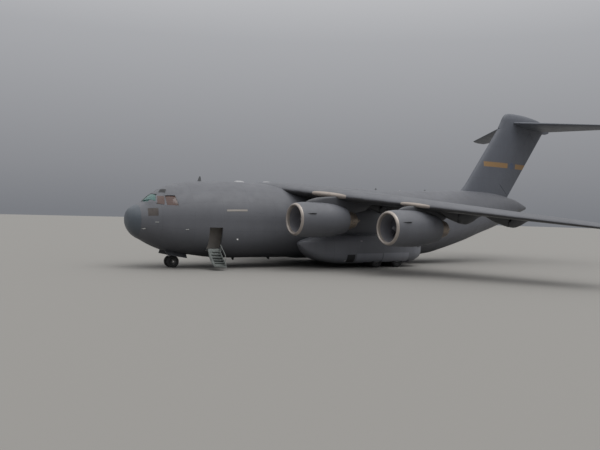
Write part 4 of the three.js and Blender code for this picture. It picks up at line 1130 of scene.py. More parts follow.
def fin_about(gap=0.0):
    """As about(), for the rudder."""
    def at_place(place, row):
        share = (place - RUDDER["from"]) / (RUDDER["to"] - RUDDER["from"])
        radius = RUDDER["nose"][0] + (RUDDER["nose"][1] - RUDDER["nose"][0]) * share
        return rudder_line(row), radius + gap, RUDDER["lean"]
    return at_place


def rudder_end(end, gap):
    """Where the rudder's end, square to its hinge, crosses a level section of the fin."""
    return lambda place, row: (rudder_line(row) + (RUDDER[end] - place) / RUDDER["fall"] + gap, None)


def tip_rows(row, out, count=4, reach=0.08):
    """Sections that round off a tip: each a little further out, shorter and thinner."""
    rows = []
    for share in np.linspace(0, 1, count + 1)[1:]:
        shrink = math.sqrt(1 - share**2 * 0.96)
        lead, chord, thick, slope, up, camber = row
        trim = 0.06 * chord * (1 - shrink)
        nose = lead + np.asarray(out) * reach * share + [trim, 0, 0]
        rows.append((nose, chord - 2 * trim, thick * shrink, slope, up, camber))
    return rows


def wing_attributes(points):
    span = np.abs(points[:, 1])
    chord = np.array([spanwise(WING_CHORD, y) for y in span])
    along = points[:, 0] - WING["apex"] - WING["sweep"] * span
    twist = wing_twist(span)
    line = WING["z"] - WING["droop"] * span - along * twist
    # The lower skin, which the wing paint darkens as painted shade
    under = (points[:, 2] < line) & (span < WING["tip"])
    return {"share": along / chord, "span": span * SCALE, "under": under}


def flap_nose(flap):
    """The flap's round front, just behind the wing's flat end."""
    def at_place(place, row):
        front = flap["share"] * row[1]
        radius = 0.92 * skin_half(row, front)
        return front + flap["gap"] + radius, radius * 1.02
    return at_place


def flat_end(share):
    """A flat rear end at a share of the chord."""
    return lambda place, row: (share * row[1], None)


def leaf_piece(node, row_of, hinge, key, front, attributes, flip):
    """A hinged surface as a piece on its own body, with a gap at both ends."""
    leaf = Build()
    span = span_steps(hinge["from"] + hinge["gap"], hinge["to"] - hinge["gap"])
    foil_part(leaf, row_of, span, key, front, None, flip, hinge["ends"], hinge["share"])
    leaf.finish(f"{node}_skin", node, replaces=(node,), attributes=attributes, sharp=30)


def wing_skin(side, flip):
    """The fixed wing with its pale leading-edge strips and its winglet."""
    build = Build()
    inboard, outboard = FLAPS["inboard"], FLAPS["outboard"]
    stretches = [
        (WING["root"], inboard["from"], None),
        (inboard["from"], inboard["to"], flat_end(inboard["share"])),
        (inboard["to"], WING["kink"], None),
        (WING["kink"], outboard["from"], None),
        (outboard["from"], outboard["to"], flat_end(outboard["share"])),
        (outboard["to"], AILERON["from"], None),
        (AILERON["from"], AILERON["to"], about(AILERON, AILERON["gap"])),
        (AILERON["to"], WING["tip"], None),
    ]
    for start, stop, rear in stretches:
        foil_part(build, wing_row, span_steps(start, stop), "foil", rear=rear, flip=flip)
    for start, stop in EDGE_SPANS:
        edge_strip(build, start, stop, flip)
    rows = [winglet_row(share) for share in np.linspace(0, 1, 26)]
    rows += tip_rows(rows[-1], (0.02, 0, 0), reach=0.01)
    build.loft([foil_ring(row) * flip for row in rows], "foil")
    build.finish(f"wing_{side}_skin", replaces=(f"wing_{side}",), attributes=wing_attributes, sharp=30)


def wing_side(side, mirror):
    flip = (1, mirror, 1)
    wing_skin(side, flip)
    for name, flap in FLAPS.items():
        leaf_piece(f"flap_{name}_{side}", wing_row, flap, "foil", flap_nose(flap), wing_attributes, flip)
    leaf_piece(f"aileron_{side}", wing_row, AILERON, "foil", about(AILERON), wing_attributes, flip)


def fin_attributes(points):
    share = (points[:, 0] - FIN["lead_x"] - (points[:, 2] - FIN["lead_z"]) * FIN["slope"]) / FIN["chord"]
    return {"share": share, "span": points[:, 2] * SCALE}


def fin():
    """The fixed fin, whose stretches above and below the rudder end square to its hinge."""
    build = Build()
    drop = RUDDER["fall"] * (1 - RUDDER["share"]) * FIN["chord"]
    rise = RUDDER["fall"] * RUDDER["lean"] * RUDDER["nose"][0]
    low, high = RUDDER["from"] - drop, RUDDER["to"] - drop
    stretches = [
        (FIN["foot"], low, {}),
        (low, RUDDER["from"] + rise, {"rear": rudder_end("from", -RUDDER["end_gap"])}),
        (RUDDER["from"] + rise, RUDDER["to"] + rise, {"rear": fin_about(RUDDER["gap"])}),
        (high + RUDDER["cap"], RUDDER["to"] + rise, {"front": rudder_end("to", RUDDER["end_gap"])}),
        (RUDDER["to"] + rise, FIN["top"], {}),
    ]
    for start, stop, ends in stretches:
        foil_part(build, fin_row, span_steps(start, stop), "fin", **ends)
    build.finish("fin_skin", replaces=("fin",), attributes=fin_attributes, sharp=30)


def rudder():
    leaf = Build()
    rings = []
    for place in span_steps(RUDDER["from"] + RUDDER["gap"], RUDDER["to"] - RUDDER["gap"]):
        row = fin_row(place)
        ring = foil_ring(row, fin_about()(place, row))
        hinge = row[0][0] + rudder_line(row)
        behind = ring[:, 0] - hinge
        ring[:, 0], ring[:, 2] = hinge + RUDDER["draw"] * behind, place - RUDDER["fall"] * behind
        rings.append(ring)
    leaf.loft(rings, "fin")
    leaf.finish("rudder_skin", "rudder", replaces=("rudder",), attributes=fin_attributes, sharp=30)


def tail_attributes(points):
    span = np.abs(points[:, 1])
    share = (points[:, 0] - STABILISER["apex"] - STABILISER["sweep"] * span) / stabiliser_chord(span)
    return {"share": share, "span": span * SCALE}


def stabiliser_side(build, side, flip):
    """One side of the stabiliser with its round tip, and its elevator as a piece of its own."""
    foil_part(build, stabiliser_row, span_steps(0, ELEVATOR["from"]), "fin", flip=flip)
    span = span_steps(ELEVATOR["from"], ELEVATOR["to"])
    foil_part(build, stabiliser_row, span, "fin", rear=about(ELEVATOR, ELEVATOR["gap"]), flip=flip)
    tip = stabiliser_row(STABILISER["half"] - 0.06)
    rows = [stabiliser_row(ELEVATOR["to"]), tip, *tip_rows(tip, (0, -1, 0), reach=0.058)]
    build.loft([foil_ring(row) * flip for row in rows], "fin")
    leaf_piece(f"elevator_{side}", stabiliser_row, ELEVATOR, "fin", about(ELEVATOR), tail_attributes, flip)


def stabiliser():
    build = Build()
    rows = [bullet_row(z) for z in np.linspace(BULLET[0, 0], BULLET[-1, 0], 26)]
    build.loft([foil_ring(row, skin=44) for row in rows], "fin")
    for side, mirror in SIDES:
        stabiliser_side(build, side, (1, mirror, 1))
    build.finish("stabiliser_skin", replaces=("stabiliser",), attributes=tail_attributes, sharp=30)


# Fairing over the wing's centre: x, half width, top
HUMP = np.array([
    [11.4, 0.3, 7.4],
    [12.6, 1.3, 7.57],
    [14, 2, 7.62],
    [15.4, 2.3, 7.6],
    [17.2, 2.3, 7.54],
    [22, 2.3, 7.52],
    [23.6, 1.5, 7.48],
    [25, 0.3, 7.4],
])
HUMP_BASE = 6.0
HUMP_SQUARE = 0.42  # the lower, the squarer its section


def wing_centre():
    build = Build()
    rings = []
    turn = np.linspace(0, np.pi, 45)
    for x in np.linspace(HUMP[0, 0], HUMP[-1, 0], 60):
        half, top = row_at(HUMP, x)
        y = half * np.cos(turn)
        z = HUMP_BASE + (top - HUMP_BASE) * np.sin(turn) ** HUMP_SQUARE
        rings.append(np.column_stack([np.full(len(turn), x), y, z]))
    build.loft(rings, "skin")
    build.finish(
        "wing_centre_fairing", replaces=("wing_centre",),
        attributes=lambda points: {"around": np.abs(points[:, 1]) * SCALE},
    )


def flying_surfaces():
    wing_centre()
    for side, mirror in SIDES:
        wing_side(side, mirror)
    fin()
    rudder()
    stabiliser()


# Engines

# Fan cowl from its outer rear edge round the lip and back along the duct: distance from the lip, radius
COWL = [
    (5.0, 1.12), (4.1, 1.31), (3.4, 1.41), (2.8, 1.45), (1.2, 1.45), (0.6, 1.42), (0.25, 1.365), (0.06, 1.29),
    (0, 1.19), (0.05, 1.12), (0.25, 1.085), (1.0, 1.075), (2.4, 1.12), (3.7, 1.16), (5.0, 1.08),
]
COWL_SIDES = 88
LIP_END = {"outside": 0.2, "inside": 0.3}
# Bodies on the engine's axis: distance from the lip, radius
CORE = [
    (1.62, 0.02), (1.62, 0.42), (2.5, 0.72), (4.1, 0.88), (5.15, 0.88), (6.15, 0.65), (6.12, 0.6),
    (5.6, 0.58), (5.6, 0.02),
]
PLUG = [(5.4, 0.02), (5.4, 0.42), (6.1, 0.4), (6.55, 0.2), (6.89, 0.02)]
SPINNER = [(0.62, 0.02), (0.66, 0.09), (0.8, 0.18), (1.0, 0.27), (1.18, 0.33), (1.59, 0.33), (1.59, 0.02)]
# Strakes on the cowl's shoulders: distance from the lip, radius
STRAKE = [(0.5, 1.39), (1.35, 1.44), (1.35, 1.56), (0.95, 1.56)]
STRAKE_ANGLE, STRAKE_HALF = math.radians(20), 0.012
LATCHES = {"x": (1.9, 2.6, 3.3), "long": 0.22, "half": 0.05, "under": (-1.475, -1.43)}
# Guide vanes behind the fan, as a section of distance from the lip and thickness
VANES = {"count": 30, "radii": (0.4, 1.1), "section": [(1.9, 0), (1.98, 0.025), (2.16, 0.0), (1.98, -0.012)]}
FAN = {"x": 1.33, "hub": 0.29, "tip": 1.03, "blades": 24}
# A fan blade's section: share along the chord, share of the thickness
BLADE_SECTION = [
    (-0.5, 0), (-0.3, 0.8), (0, 1.1), (0.3, 0.7), (0.5, 0), (0.3, -0.3), (0, -0.5), (-0.3, -0.4),
]
PYLON_HALF = 0.19
# Pylon's outline, from bottom to top: height over the shaft, front and rear distance from the lip
PYLONS = {
    "inner": [
        (0.6, 2.7, 6.0), (0.9, 2.6, 7.45), (1.3, 1.12, 7.9), (1.4, 1.1, 8.1), (1.52, 1.25, 8.3),
        (1.64, 1.5, 8.4), (1.75, 1.85, 8.2), (1.85, 2.25, 7.6), (1.95, 3.2, 6.6), (2.03, 4.2, 5.4),
    ],
    "outer": [
        (0.6, 2.7, 5.9), (0.9, 2.6, 6.4), (1.3, 1.12, 6.5), (1.4, 1.1, 6.55), (1.52, 1.25, 6.6),
        (1.64, 1.5, 6.6), (1.72, 1.8, 6.6), (1.79, 2.25, 6.5), (1.86, 3.2, 5.2),
    ],
}


def circle(columns):
    """Directions round the x axis."""
    turn = turns(columns)
    return np.column_stack([np.zeros(columns), np.cos(turn), np.sin(turn)])


def blade_axes(i, count):
    """Directions along and across the blade at step i round the x axis."""
    angle = 2 * math.pi * i / count
    c, s = math.cos(angle), math.sin(angle)
    return np.array([0, c, s]), np.array([0, -s, c])


def nacelle(number, place):
    """Fan cowl: bare-metal lip, painted cowl and duct lining."""
    path = chaikin(COWL)
    nose = path[:, 0].argmin()
    split = np.abs(path[:nose, 0] - LIP_END["outside"]).argmin()
    inner_split = nose + np.abs(path[nose:, 0] - LIP_END["inside"]).argmin()
    rings = [place + [x, 0, 0] + radius * circle(COWL_SIDES) for x, radius in path]
    build = Build()
    ends = (0, split, inner_split, len(path) - 1)
    for start, stop, key in zip(ends, ends[1:], ("cowl", "lip", "duct")):
        part = rings[start:stop + 1]
        build.add(np.vstack(part), grid_faces(len(part), COWL_SIDES), key)
    build.add(np.vstack([rings[-1], rings[0]]), grid_faces(2, COWL_SIDES), "lip")
    build.finish(
        f"nacelle_{number}_cowl", replaces=(f"nacelle_{number}",),
        attributes=lambda points: {"along": (points[:, 0] - place[0]) * SCALE},
    )


def nacelle_fittings(number, place):
    """Strakes on the cowl's shoulders and latches along its bottom."""
    build = Build()
    c, s = math.cos(STRAKE_ANGLE), math.sin(STRAKE_ANGLE)
    for side in (-1, 1):
        build.loft([
            [place + [x, side * (radius * c - lean * s), radius * s + lean * c] for x, radius in STRAKE]
            for lean in (-STRAKE_HALF, STRAKE_HALF)
        ], "dark")
    low, high = LATCHES["under"]
    for x in LATCHES["x"]:
        foot = place + [x, -LATCHES["half"], low]
        build.block(foot, place + [x + LATCHES["long"], LATCHES["half"], high], "hub")
    build.finish(f"nacelle_{number}_fittings")


def pylon_part(build, place, levels):
    """A pylon of level sections, round in front and thin behind."""
    shares = (1 - np.cos(np.linspace(0, np.pi, 22))) / 2
    rings = []
    for z, front, rear in levels:
        long = rear - front
        s = shares * long
        round_front = np.minimum(np.sqrt(np.clip(s / 0.9, 0, 1)), 1)
        half = PYLON_HALF * round_front * np.clip((long - s) / (0.35 * long), 0.03, 1) ** 0.7
        side = np.column_stack([front + s, half, np.full(len(s), z)])
        other = side[-2:0:-1] * [1, -1, 1]
        rings.append(place + np.vstack([side, other]))
    build.loft(rings, "pylon")


def engine_core(number, place, kind):
    """Core cowl, exhaust plug, guide vanes and pylon."""
    build = Build()
    build.turned(chaikin(CORE, 2), place, "x", "hot", 56)
    build.turned(chaikin(PLUG, 2), place, "x", "hot", 40)
    pylon_part(build, place, PYLONS[kind])
    for i in range(VANES["count"]):
        radial, across = blade_axes(i, VANES["count"])
        build.loft([
            [place + [x, 0, 0] + radial * radius + across * thick for x, thick in VANES["section"]]
            for radius in VANES["radii"]
        ], "fan")
    build.finish(f"engine_{number}_core", slot="hot_metal", replaces=(f"engine_{number}",), sharp=40)


def fan(number, place):
    """Spinner and wide twisted blades."""
    build = Build()
    build.turned(chaikin(SPINNER, 2), place, "x", "spinner", 48)
    for i in range(FAN["blades"]):
        radial, across = blade_axes(i, FAN["blades"])
        rings = []
        for share in np.linspace(0, 1, 7):
            radius = FAN["hub"] + (FAN["tip"] - FAN["hub"]) * share
            lean, long = 0.45 + 0.65 * share, 0.23 + 0.1 * share - 0.04 * share**3
            chord = np.array([math.cos(lean), 0, 0]) + across * math.sin(lean)
            normal = np.array([-math.sin(lean), 0, 0]) + across * math.cos(lean)
            bow = 0.02 * math.sin(math.pi * share)
            middle = place + [FAN["x"] + bow, 0, 0] + radial * radius
            thick = 0.016 * (1 - 0.55 * share)
            rings.append([middle + chord * long * a + normal * thick * b for a, b in BLADE_SECTION])
        build.loft(rings, "fan")
    build.finish(f"fan_{number}_blades", f"fan_{number}", "fan_metal", (f"fan_{number}",))


def engines():
    for number, place, kind in ENGINES:
        place = np.array(place)
        nacelle(number, place)
        nacelle_fittings(number, place)
        engine_core(number, place, kind)
        fan(number, place)


# Landing gear

MAIN = {
    "x": 23.0, "spacing": 2.5, "leg_y": 3.575, "radius": 0.619, "half": 0.265, "middles": (5.0, 4.05, 3.1),
    "axle": (2.9, 5.2), "axle_radius": 0.075,
}
NOSE = {
    "x": 3.95, "radius": 0.497, "half": 0.2, "track": 0.33, "strut_foot": 1.08, "roof": 2.16,
    "axle": 0.5, "axle_radius": 0.058,
}
WELL_ROOF = 1.95
RIM_SHARE = 0.47
# Tyre's side, from bead to tread: share of the half width, share of the way from rim to tread, and added
TYRE_SIDE = [
    (-0.55, 0, 0), (-0.72, 0, 0.01), (-0.97, 0.3, 0), (-1.0, 0.55, 0), (-0.93, 0.8, 0), (-0.78, 1, -0.012),
    (-0.62, 1, 0),
]
GROOVES = {"middles": (-0.42, -0.14, 0.14, 0.42), "half": 0.03, "depth": 0.018}
HUB_HOLE = 0.02
# Hub, between its holes: share of the half width, share of the rim's radius
HUB = [
    (-0.6, 0.3), (-0.5, 0.34), (-0.42, 0.62), (-0.5, 0.9), (-0.62, 0.99), (-0.7, 1.02), (-0.66, 1.05),
    (-0.55, 1.0), (0.55, 1.0), (0.66, 1.05), (0.7, 1.02), (0.62, 0.99), (0.5, 0.9), (0.3, 0.6),
]
BOLTS = 10
BOLT = [(-0.03, 0.02), (-0.03, 0.018), (0.03, 0.022), (0.03, 0.002)]
AXLE_BOSS = {"main": (0.13, 0.17), "nose": (0.1, 0.115)}  # half length, radius
NOSE_STRUT = [(1.08, 0.11), (1.1, 0.135), (1.5, 0.135), (1.52, 0.15), (1.6, 0.15), (1.62, 0.13)]
NOSE_COLLAR = [(0.92, 0.1), (0.93, 0.125), (1.05, 0.125), (1.06, 0.1)]
TAXI_LAMP = [(-0.1, 0.03), (-0.09, 0.065), (0.02, 0.075), (0.03, 0.03)]


def tyre_path(half, radius, rim):
    """Tyre's section across the wheel: bead, sidewall, rounded shoulder and grooved tread."""
    side = [(a * half, rim + way * (radius - rim) + added) for a, way, added in TYRE_SIDE]
    tread = []
    for middle in GROOVES["middles"]:
        start, stop = (middle - GROOVES["half"]) * half, (middle + GROOVES["half"]) * half
        deep = radius - GROOVES["depth"]
        tread += [(start, radius), (start, deep), (stop, deep), (stop, radius)]
    return [*side, *tread, *[(-a, r) for a, r in reversed(side)]]


def wheel(build, place, half, radius, facing):
    """Tyre and hub with its rim, brake housing and bolts, seen from the facing side."""
    rim = radius * RIM_SHARE
    build.turned(tyre_path(half, radius, rim), place, "y", "tyre", 64)
    hub = [(a * half * facing, share * rim) for a, share in HUB]
    build.turned([(hub[0][0], HUB_HOLE), *hub, (hub[-1][0], HUB_HOLE)], place, "y", "hub", 48)
    for i in range(BOLTS):
        angle = 2 * math.pi * i / BOLTS
        out = rim * 0.5
        spot = np.array(place) + [out * math.cos(angle), facing * -0.44 * half, out * math.sin(angle)]
        build.turned(BOLT, spot, "y", "chrome", 6)


def axle_boss(build, kind, place):
    """The cylinder that holds the axle at a leg's foot."""
    half, radius = AXLE_BOSS[kind]
    build.turned([(-half, 0.02), (-half, radius), (half, radius), (half, 0.02)], place, "y", "leg", 32)


def main_wheels(name, x, sign):
    build = Build()
    for middle in MAIN["middles"]:
        facing = -sign if middle == MAIN["middles"][0] else sign
        wheel(build, (x, sign * middle, MAIN["radius"]), MAIN["half"], MAIN["radius"], facing)
    inner, outer = MAIN["axle"]
    start, end = (x, sign * inner, MAIN["radius"]), (x, sign * outer, MAIN["radius"])
    build.rod(start, end, MAIN["axle_radius"], "chrome")
    build.finish(f"{name}_tyres", name, "tyre_rubber", (name,))


def main_leg(name, x, y):
    """Strut, piston, drag brace, torque links and hose."""
    leg = Build()
    leg.rod((x, y, 1.35), (x, y, WELL_ROOF - 0.01), 0.15, "leg", 28)
    leg.rod((x, y, 0.78), (x, y, 1.36), 0.105, "chrome", 28)
    axle_boss(leg, "main", (x, y, MAIN["radius"]))
    leg.rod((x, y, 1.3), (x + 0.6, y, WELL_ROOF - 0.06), 0.055, "leg")
    for z in (1.28, 0.82):
        leg.rod((x - 0.05, y, z), (x - 0.34, y, 1.05), 0.035, "leg")
    leg.tube([(x, y - 0.12, 1.5), (x - 0.2, y - 0.16, 1.2), (x - 0.12, y - 0.14, 0.75)], 0.014, "tyre")
    leg.finish(f"{name}_strut", slot="leg_paint", replaces=(name,))


def main_gear():
    for row, share in (("front", -0.5), ("rear", 0.5)):
        x = MAIN["x"] + share * MAIN["spacing"]
        for side, sign in (("left", -1), ("right", 1)):
            main_wheels(f"main_wheels_{row}_{side}", x, sign)
            main_leg(f"main_leg_{row}_{side}", x, sign * MAIN["leg_y"])


def nose_leg(x):
    """Strut, two braces and a hose."""
    leg = Build()
    leg.turned([*NOSE_STRUT, (NOSE["roof"] - 0.01, 0.13)], (x, 0, 0), "z", "leg", 36)
    leg.rod((x, 0, 1.55), (x + 0.78, 0, NOSE["roof"] - 0.05), 0.06, "leg", 18)
    leg.rod((x, 0, 1.3), (x - 0.35, 0, NOSE["roof"] - 0.05), 0.04, "leg", 16)
    leg.tube([(x + 0.14, 0.05, 2.0), (x + 0.17, 0.05, 1.5), (x + 0.15, 0.04, 1.15)], 0.014, "tyre")
    leg.finish("nose_leg_strut", slot="leg_paint", replaces=("nose_leg",))


def nose_fork(x, radius):
    """Piston with its collar, torque links and taxi lamps."""
    fork = Build()
    fork.rod((x, 0, radius + 0.05), (x, 0, NOSE["strut_foot"]), 0.092, "chrome", 28)
    axle_boss(fork, "nose", (x, 0, radius))
    fork.turned(NOSE_COLLAR, (x, 0, 0), "z", "leg", 32)
    fork.rod((x + 0.1, 0, 0.98), (x + 0.32, 0, 0.8), 0.035, "leg")
    fork.rod((x + 0.32, 0, 0.8), (x + 0.08, 0, 0.58), 0.035, "leg")
    for side in (-1, 1):
        fork.turned(TAXI_LAMP, (x - 0.18, side * 0.1, 0.98), "x", "pale", 24)
    fork.finish("nose_fork_piston", "nose_fork", "leg_paint", ("nose_fork",))


def nose_gear():
    x, radius = NOSE["x"], NOSE["radius"]
    nose_leg(x)
    nose_fork(x, radius)
    build = Build()
    for side in (-1, 1):
        wheel(build, (x, side * NOSE["track"], radius), NOSE["half"], radius, -side)
    build.rod((x, -NOSE["axle"], radius), (x, NOSE["axle"], radius), NOSE["axle_radius"], "chrome")
    build.finish("nose_wheels_tyres", "nose_wheels", "tyre_rubber", ("nose_wheels",))


# Flap hinge fairings

# A flap's hinge fairing: distance behind the hinge, bottom as a share of the hinge's depth, half width
FAIRING_SIDE = np.array([
    [-2.9, 0.12, 0.04],
    [-2.4, 0.42, 0.16],
    [-1.6, 0.85, 0.24],
    [-0.8, 1.14, 0.27],
    [0, 1.38, 0.27],
    [0.6, 1.45, 0.26],
    [1.3, 1.24, 0.22],
    [2.1, 0.8, 0.14],
    [3.1, 0.42, 0.03],
])
KNUCKLE_GAP = 0.014


def fairing_ring(x, y, wide, bottom, top, square=0.6):
    """A section across a hinge fairing, blunt at its top and round at its bottom."""
    turn = turns(28)
    c, s = np.cos(turn), np.sin(turn)
    middle = bottom + 0.7 * (top - bottom)
    z = middle + s * np.where(s < 0, middle - bottom, top - middle)
    return np.column_stack([np.full(28, x), y + wide * np.sign(c) * np.abs(c) ** square, z])


def flap_fairing(fixed, moving, y, deep, flap, flip):
    """One hinge fairing: its front part ends round the hinge's knuckle, which the rear part carries."""
    row = wing_row(y)
    hinge = wing_point(y, flap["share"])
    pin = hinge[2] - flap["depth"]
    radius = (FAIRING_SIDE[FAIRING_SIDE[:, 0] == 0, 1][0] * deep - 1) * flap["depth"]

    def roof(x):
        along = min(max(x - row[0][0], 0.01), row[1] * 0.97)
        return wing_point(y, along / row[1])[2] + camber_line(row, along) - 0.6 * skin_half(row, along)

    def side(behind):
        depth, wide = row_at(FAIRING_SIDE, behind)
        return hinge[2] - depth * deep * flap["depth"], wide

    room = radius + KNUCKLE_GAP
    rings = []
    straight = np.linspace(FAIRING_SIDE[0, 0], -room, 24)
    socket = -room * np.cos(np.linspace(0.15, np.pi / 2 - 0.03, 12))
    for behind in np.concatenate([straight, socket]):
        bottom, wide = side(behind)
        if behind > -room:
            bottom = pin + math.sqrt(room**2 - behind**2)
        x = hinge[0] + behind
        rings.append(fairing_ring(x, hinge[1], wide, bottom, max(roof(x), bottom + 0.02)) * flip)
    fixed.loft(rings, "fairing")
    rings = []
    for behind in -radius * np.cos(np.linspace(0.12, np.pi / 2 - 0.02, 12)):
        half = math.sqrt(radius**2 - behind**2)
        wide = side(behind)[1]
        rings.append(fairing_ring(hinge[0] + behind, hinge[1], wide, pin - half, pin + half) * flip)
    for behind in np.linspace(KNUCKLE_GAP, FAIRING_SIDE[-1, 0], 26):
        bottom, wide = side(behind)
        x = hinge[0] + behind
        rings.append(fairing_ring(x, hinge[1], wide, bottom, max(roof(x), bottom + 0.02)) * flip)
    moving.loft(rings, "fairing")


def flap_fairings():
    for part, flap in FLAPS.items():
        for side, mirror in SIDES:
            fixed, moving = Build(), Build()
            for share, deep in flap["at"]:
                y = flap["from"] + (flap["to"] - flap["from"]) * share
                flap_fairing(fixed, moving, y, deep, flap, (1, mirror, 1))
            fixed.finish(f"flap_track_{part}_{side}_front")
            moving.finish(f"flap_track_{part}_{side}_rear", f"flap_{part}_{side}")


# Details on the skin

PLATE_ROOT = 0.015  # how far a plate reaches into the skin that carries it

def skin_at(points, lift, form=FUSELAGE):
    """Points brought onto a form's smooth skin along its radii, and then lifted off it."""
    section = form.smooth(points[:, 0])
    across, height = points[:, 1] - section[3], points[:, 2] - section[2]
    angle = np.arctan2(height, across)
    reach = form.reach(section, angle) + lift
    y, z = section[3] + reach * np.cos(angle), section[2] + reach * np.sin(angle)
    return np.column_stack([points[:, 0], y, z])


def plate(build, corners, key, mirror=1, lift=0.006, form=FUSELAGE):
    """A thin plate over four corners, following the skin."""
    a, b, c, d = np.asarray(corners, float)
    down = np.linspace(0, 1, 7)[:, None]
    rings = []
    for share in np.linspace(0, 1, 13):
        line = (a + (b - a) * share) * (1 - down) + (d + (c - d) * share) * down
        ring = np.vstack([skin_at(line, lift, form), skin_at(line[::-1], -PLATE_ROOT, form)])
        rings.append(ring * (1, mirror, 1))
    build.loft(rings, key)


def border(build, corners, width, key, mirror=1, lift=0.01, form=FUSELAGE):
    """A frame of plates round four corners."""
    corners = np.asarray(corners, float)
    middle = corners.mean(axis=0)
    size = np.linalg.norm(corners - middle, axis=1, keepdims=True)
    outer = middle + (corners - middle) * (1 + width / size)
    for i in range(4):
        j = (i + 1) % 4
        plate(build, [corners[i], corners[j], outer[j], outer[i]], key, mirror, lift, form)


def ahead_point(y, z):
    """The foremost point of the hull's skin at y and z."""
    x = np.linspace(RADOME_END, 4, 400)
    inside = FUSELAGE.level(np.column_stack([x, np.full(400, y), np.full(400, z)])) <= 0
    return np.array([x[inside.argmax()], y, z])


def beside(*places):
    """Points of the hull's port skin from (x, z) pairs."""
    return [FUSELAGE.side_point(x, z) for x, z in places]


# Plates on the hull's port side, repeated to starboard: four corners, material
HULL_PLATES = [
    ([(2.42, -0.72, 6.18), (2.71, -0.37, 6.45), (3.01, -0.96, 6.45), (2.81, -1.3, 6.16)], "dark"),
    ([(7.43, -3.25, 4.94), (9.31, -3.27, 4.99), (9.3, -3.32, 4.84), (7.43, -3.29, 4.79)], "strip"),
    ([(10.19, -3.33, 4.82), (10.77, -3.33, 4.79), (10.77, -3.34, 4.72), (10.19, -3.34, 4.75)], "frame"),
]
SIDE_PANE = [(2.68, 5.16), (2.68, 5.93), (3.42, 5.96), (3.56, 5.14)]
FRONT_SIDE_PANE = [(2.212, -1.108, 5.9), (2.66, -1.58, 5.9), (2.523, -2.04, 5.18), (2.045, -1.7, 5.27)]
NOSE_PLATE = [(1.35, 4.86), (2.05, 4.9), (2.02, 4.3), (1.32, 4.26)]
# Blade antennas: x, y, height, length, material
BLADES = [
    (6.05, -0.15, 0.4, 0.36, "hub"),
    (25.2, -0.3, 0.18, 0.3, "hub"),
    (28.6, -0.1, 0.1, 0.36, "pale"),
    (32.2, 0, 0.12, 0.3, "hub"),
]
BELLY_BLADES = [(9.4, 0, 0.26, 0.4, "dark"), (12.5, -0.9, 0.2, 0.4, "dark"), (27.8, 0.4, 0.24, 0.36, "dark")]
# Blisters on the crown: x from and to, half width, height
BLISTERS = [(9.6, 10.6, 0.24, 0.13), (12.35, 13.4, 0.3, 0.2)]
PROBES = [(1.14, -1.55, 3.3), (1.98, -2.15, 3.8), (4.21, -2.91, 3.29)]
PROBE = {"stem": 0.022, "out": 0.16, "tube": 0.018, "ahead": 0.26, "behind": 0.03}
LAMP = (8.43, -3.3, 2.49)
LAMP_SIDE = [(-0.05, 0.02), (-0.05, 0.07), (0.02, 0.07), (0.04, 0.03)]


def windows():
    """Frames of the cockpit's windows, the pane beside the windshield and the small windows above."""
    build, panes = Build(), Build()
    post = [ahead_point(-0.97, 6.05), (2.72, -1.56, 6.0), (2.62, -2.09, 5.1), ahead_point(-0.97, 5.34)]
    pane = [ahead_point(-0.1, 6.0), (2.15, -0.93, 5.95), (1.96, -1.46, 5.44), ahead_point(-0.1, 5.45)]
    seal = [ahead_point(y, z) for y, z in ((-0.12, 6.06), (0.12, 6.06), (0.12, 5.42), (-0.12, 5.42))]
    plate(build, seal, "dark", lift=0.02)
    for mirror in (1, -1):
        plate(panes, pane, "windshield", mirror, lift=0.014)
        plate(build, post, "frame", mirror)
        border(build, beside(*SIDE_PANE), 0.07, "frame", mirror)
        border(build, HULL_PLATES[0][0], 0.06, "frame", mirror)
        plate(panes, FRONT_SIDE_PANE, "side_glass", mirror, lift=0.014)
    build.finish("window_frames")
    panes.finish("front_side_panes", slot="tinted_glass")


def blade(build, x, y, tall, long, key, below=False):
    """A swept blade antenna on the crown, or hanging from the belly."""
    z = FUSELAGE.top_point(x + long / 2, y, below)[2]
    sign = -1 if below else 1
    root, top = z - sign * 0.06, z + sign * tall
    outline = [(root, x), (top, x + 0.5 * long), (top, x + 0.8 * long), (root, x + long)]
    build.prism(outline, "y", y - 0.018, y + 0.018, key, soft=0.006)


def blister(build, start, stop, half, tall):
    rings = []
    turn = np.linspace(0, np.pi, 15)
    for share in np.linspace(0.01, 0.99, 18):
        x = start + (stop - start) * share
        fill = math.sqrt(1 - (2 * share - 1) ** 2)
        z = FUSELAGE.top_point(x, 0)[2] - 0.05
        y = half * fill * np.cos(turn)
        rings.append(np.column_stack([np.full(15, x), y, z + (tall * fill + 0.05) * np.sin(turn)]))
    build.loft(rings, "pale")


def hull_details():
    build = Build()
    for mirror in (1, -1):
        flip = (1, mirror, 1)
        for corners, key in HULL_PLATES:
            plate(build, corners, key, mirror, lift=0.012)
        for place in PROBES:
            out = skin_at(np.array([place]), PROBE["out"])[0] * flip
            root = skin_at(np.array([place]), -0.03)[0] * flip
            build.rod(root, out, PROBE["stem"], "rail")
            build.rod(out + [PROBE["behind"], 0, 0], out - [PROBE["ahead"], 0, 0], PROBE["tube"], "rail")
        build.turned(LAMP_SIDE, np.array(LAMP) * flip, (0, -mirror, 0), "lens", 20)
    plate(build, beside(*NOSE_PLATE), "nose_plate")
    for row in BLADES:
        blade(build, *row)
    for row in BELLY_BLADES:
        blade(build, *row, below=True)
    for row in BLISTERS:
        blister(build, *row)
    build.finish("hull_details")


# Plates on the port gear pod, repeated to starboard: x from and to, z from and to, material
POD_PLATES = [
    (19.2, 22.15, 0.52, 1.34, "pod_door"),
    (22.27, 25.3, 0.52, 1.38, "pod_door"),
    (18.15, 19.0, 0.55, 1.25, "dark"),
    (17.95, 18.12, 0.6, 0.75, "pale"),
    (19.6, 19.8, 2.4, 2.5, "pale"),
]


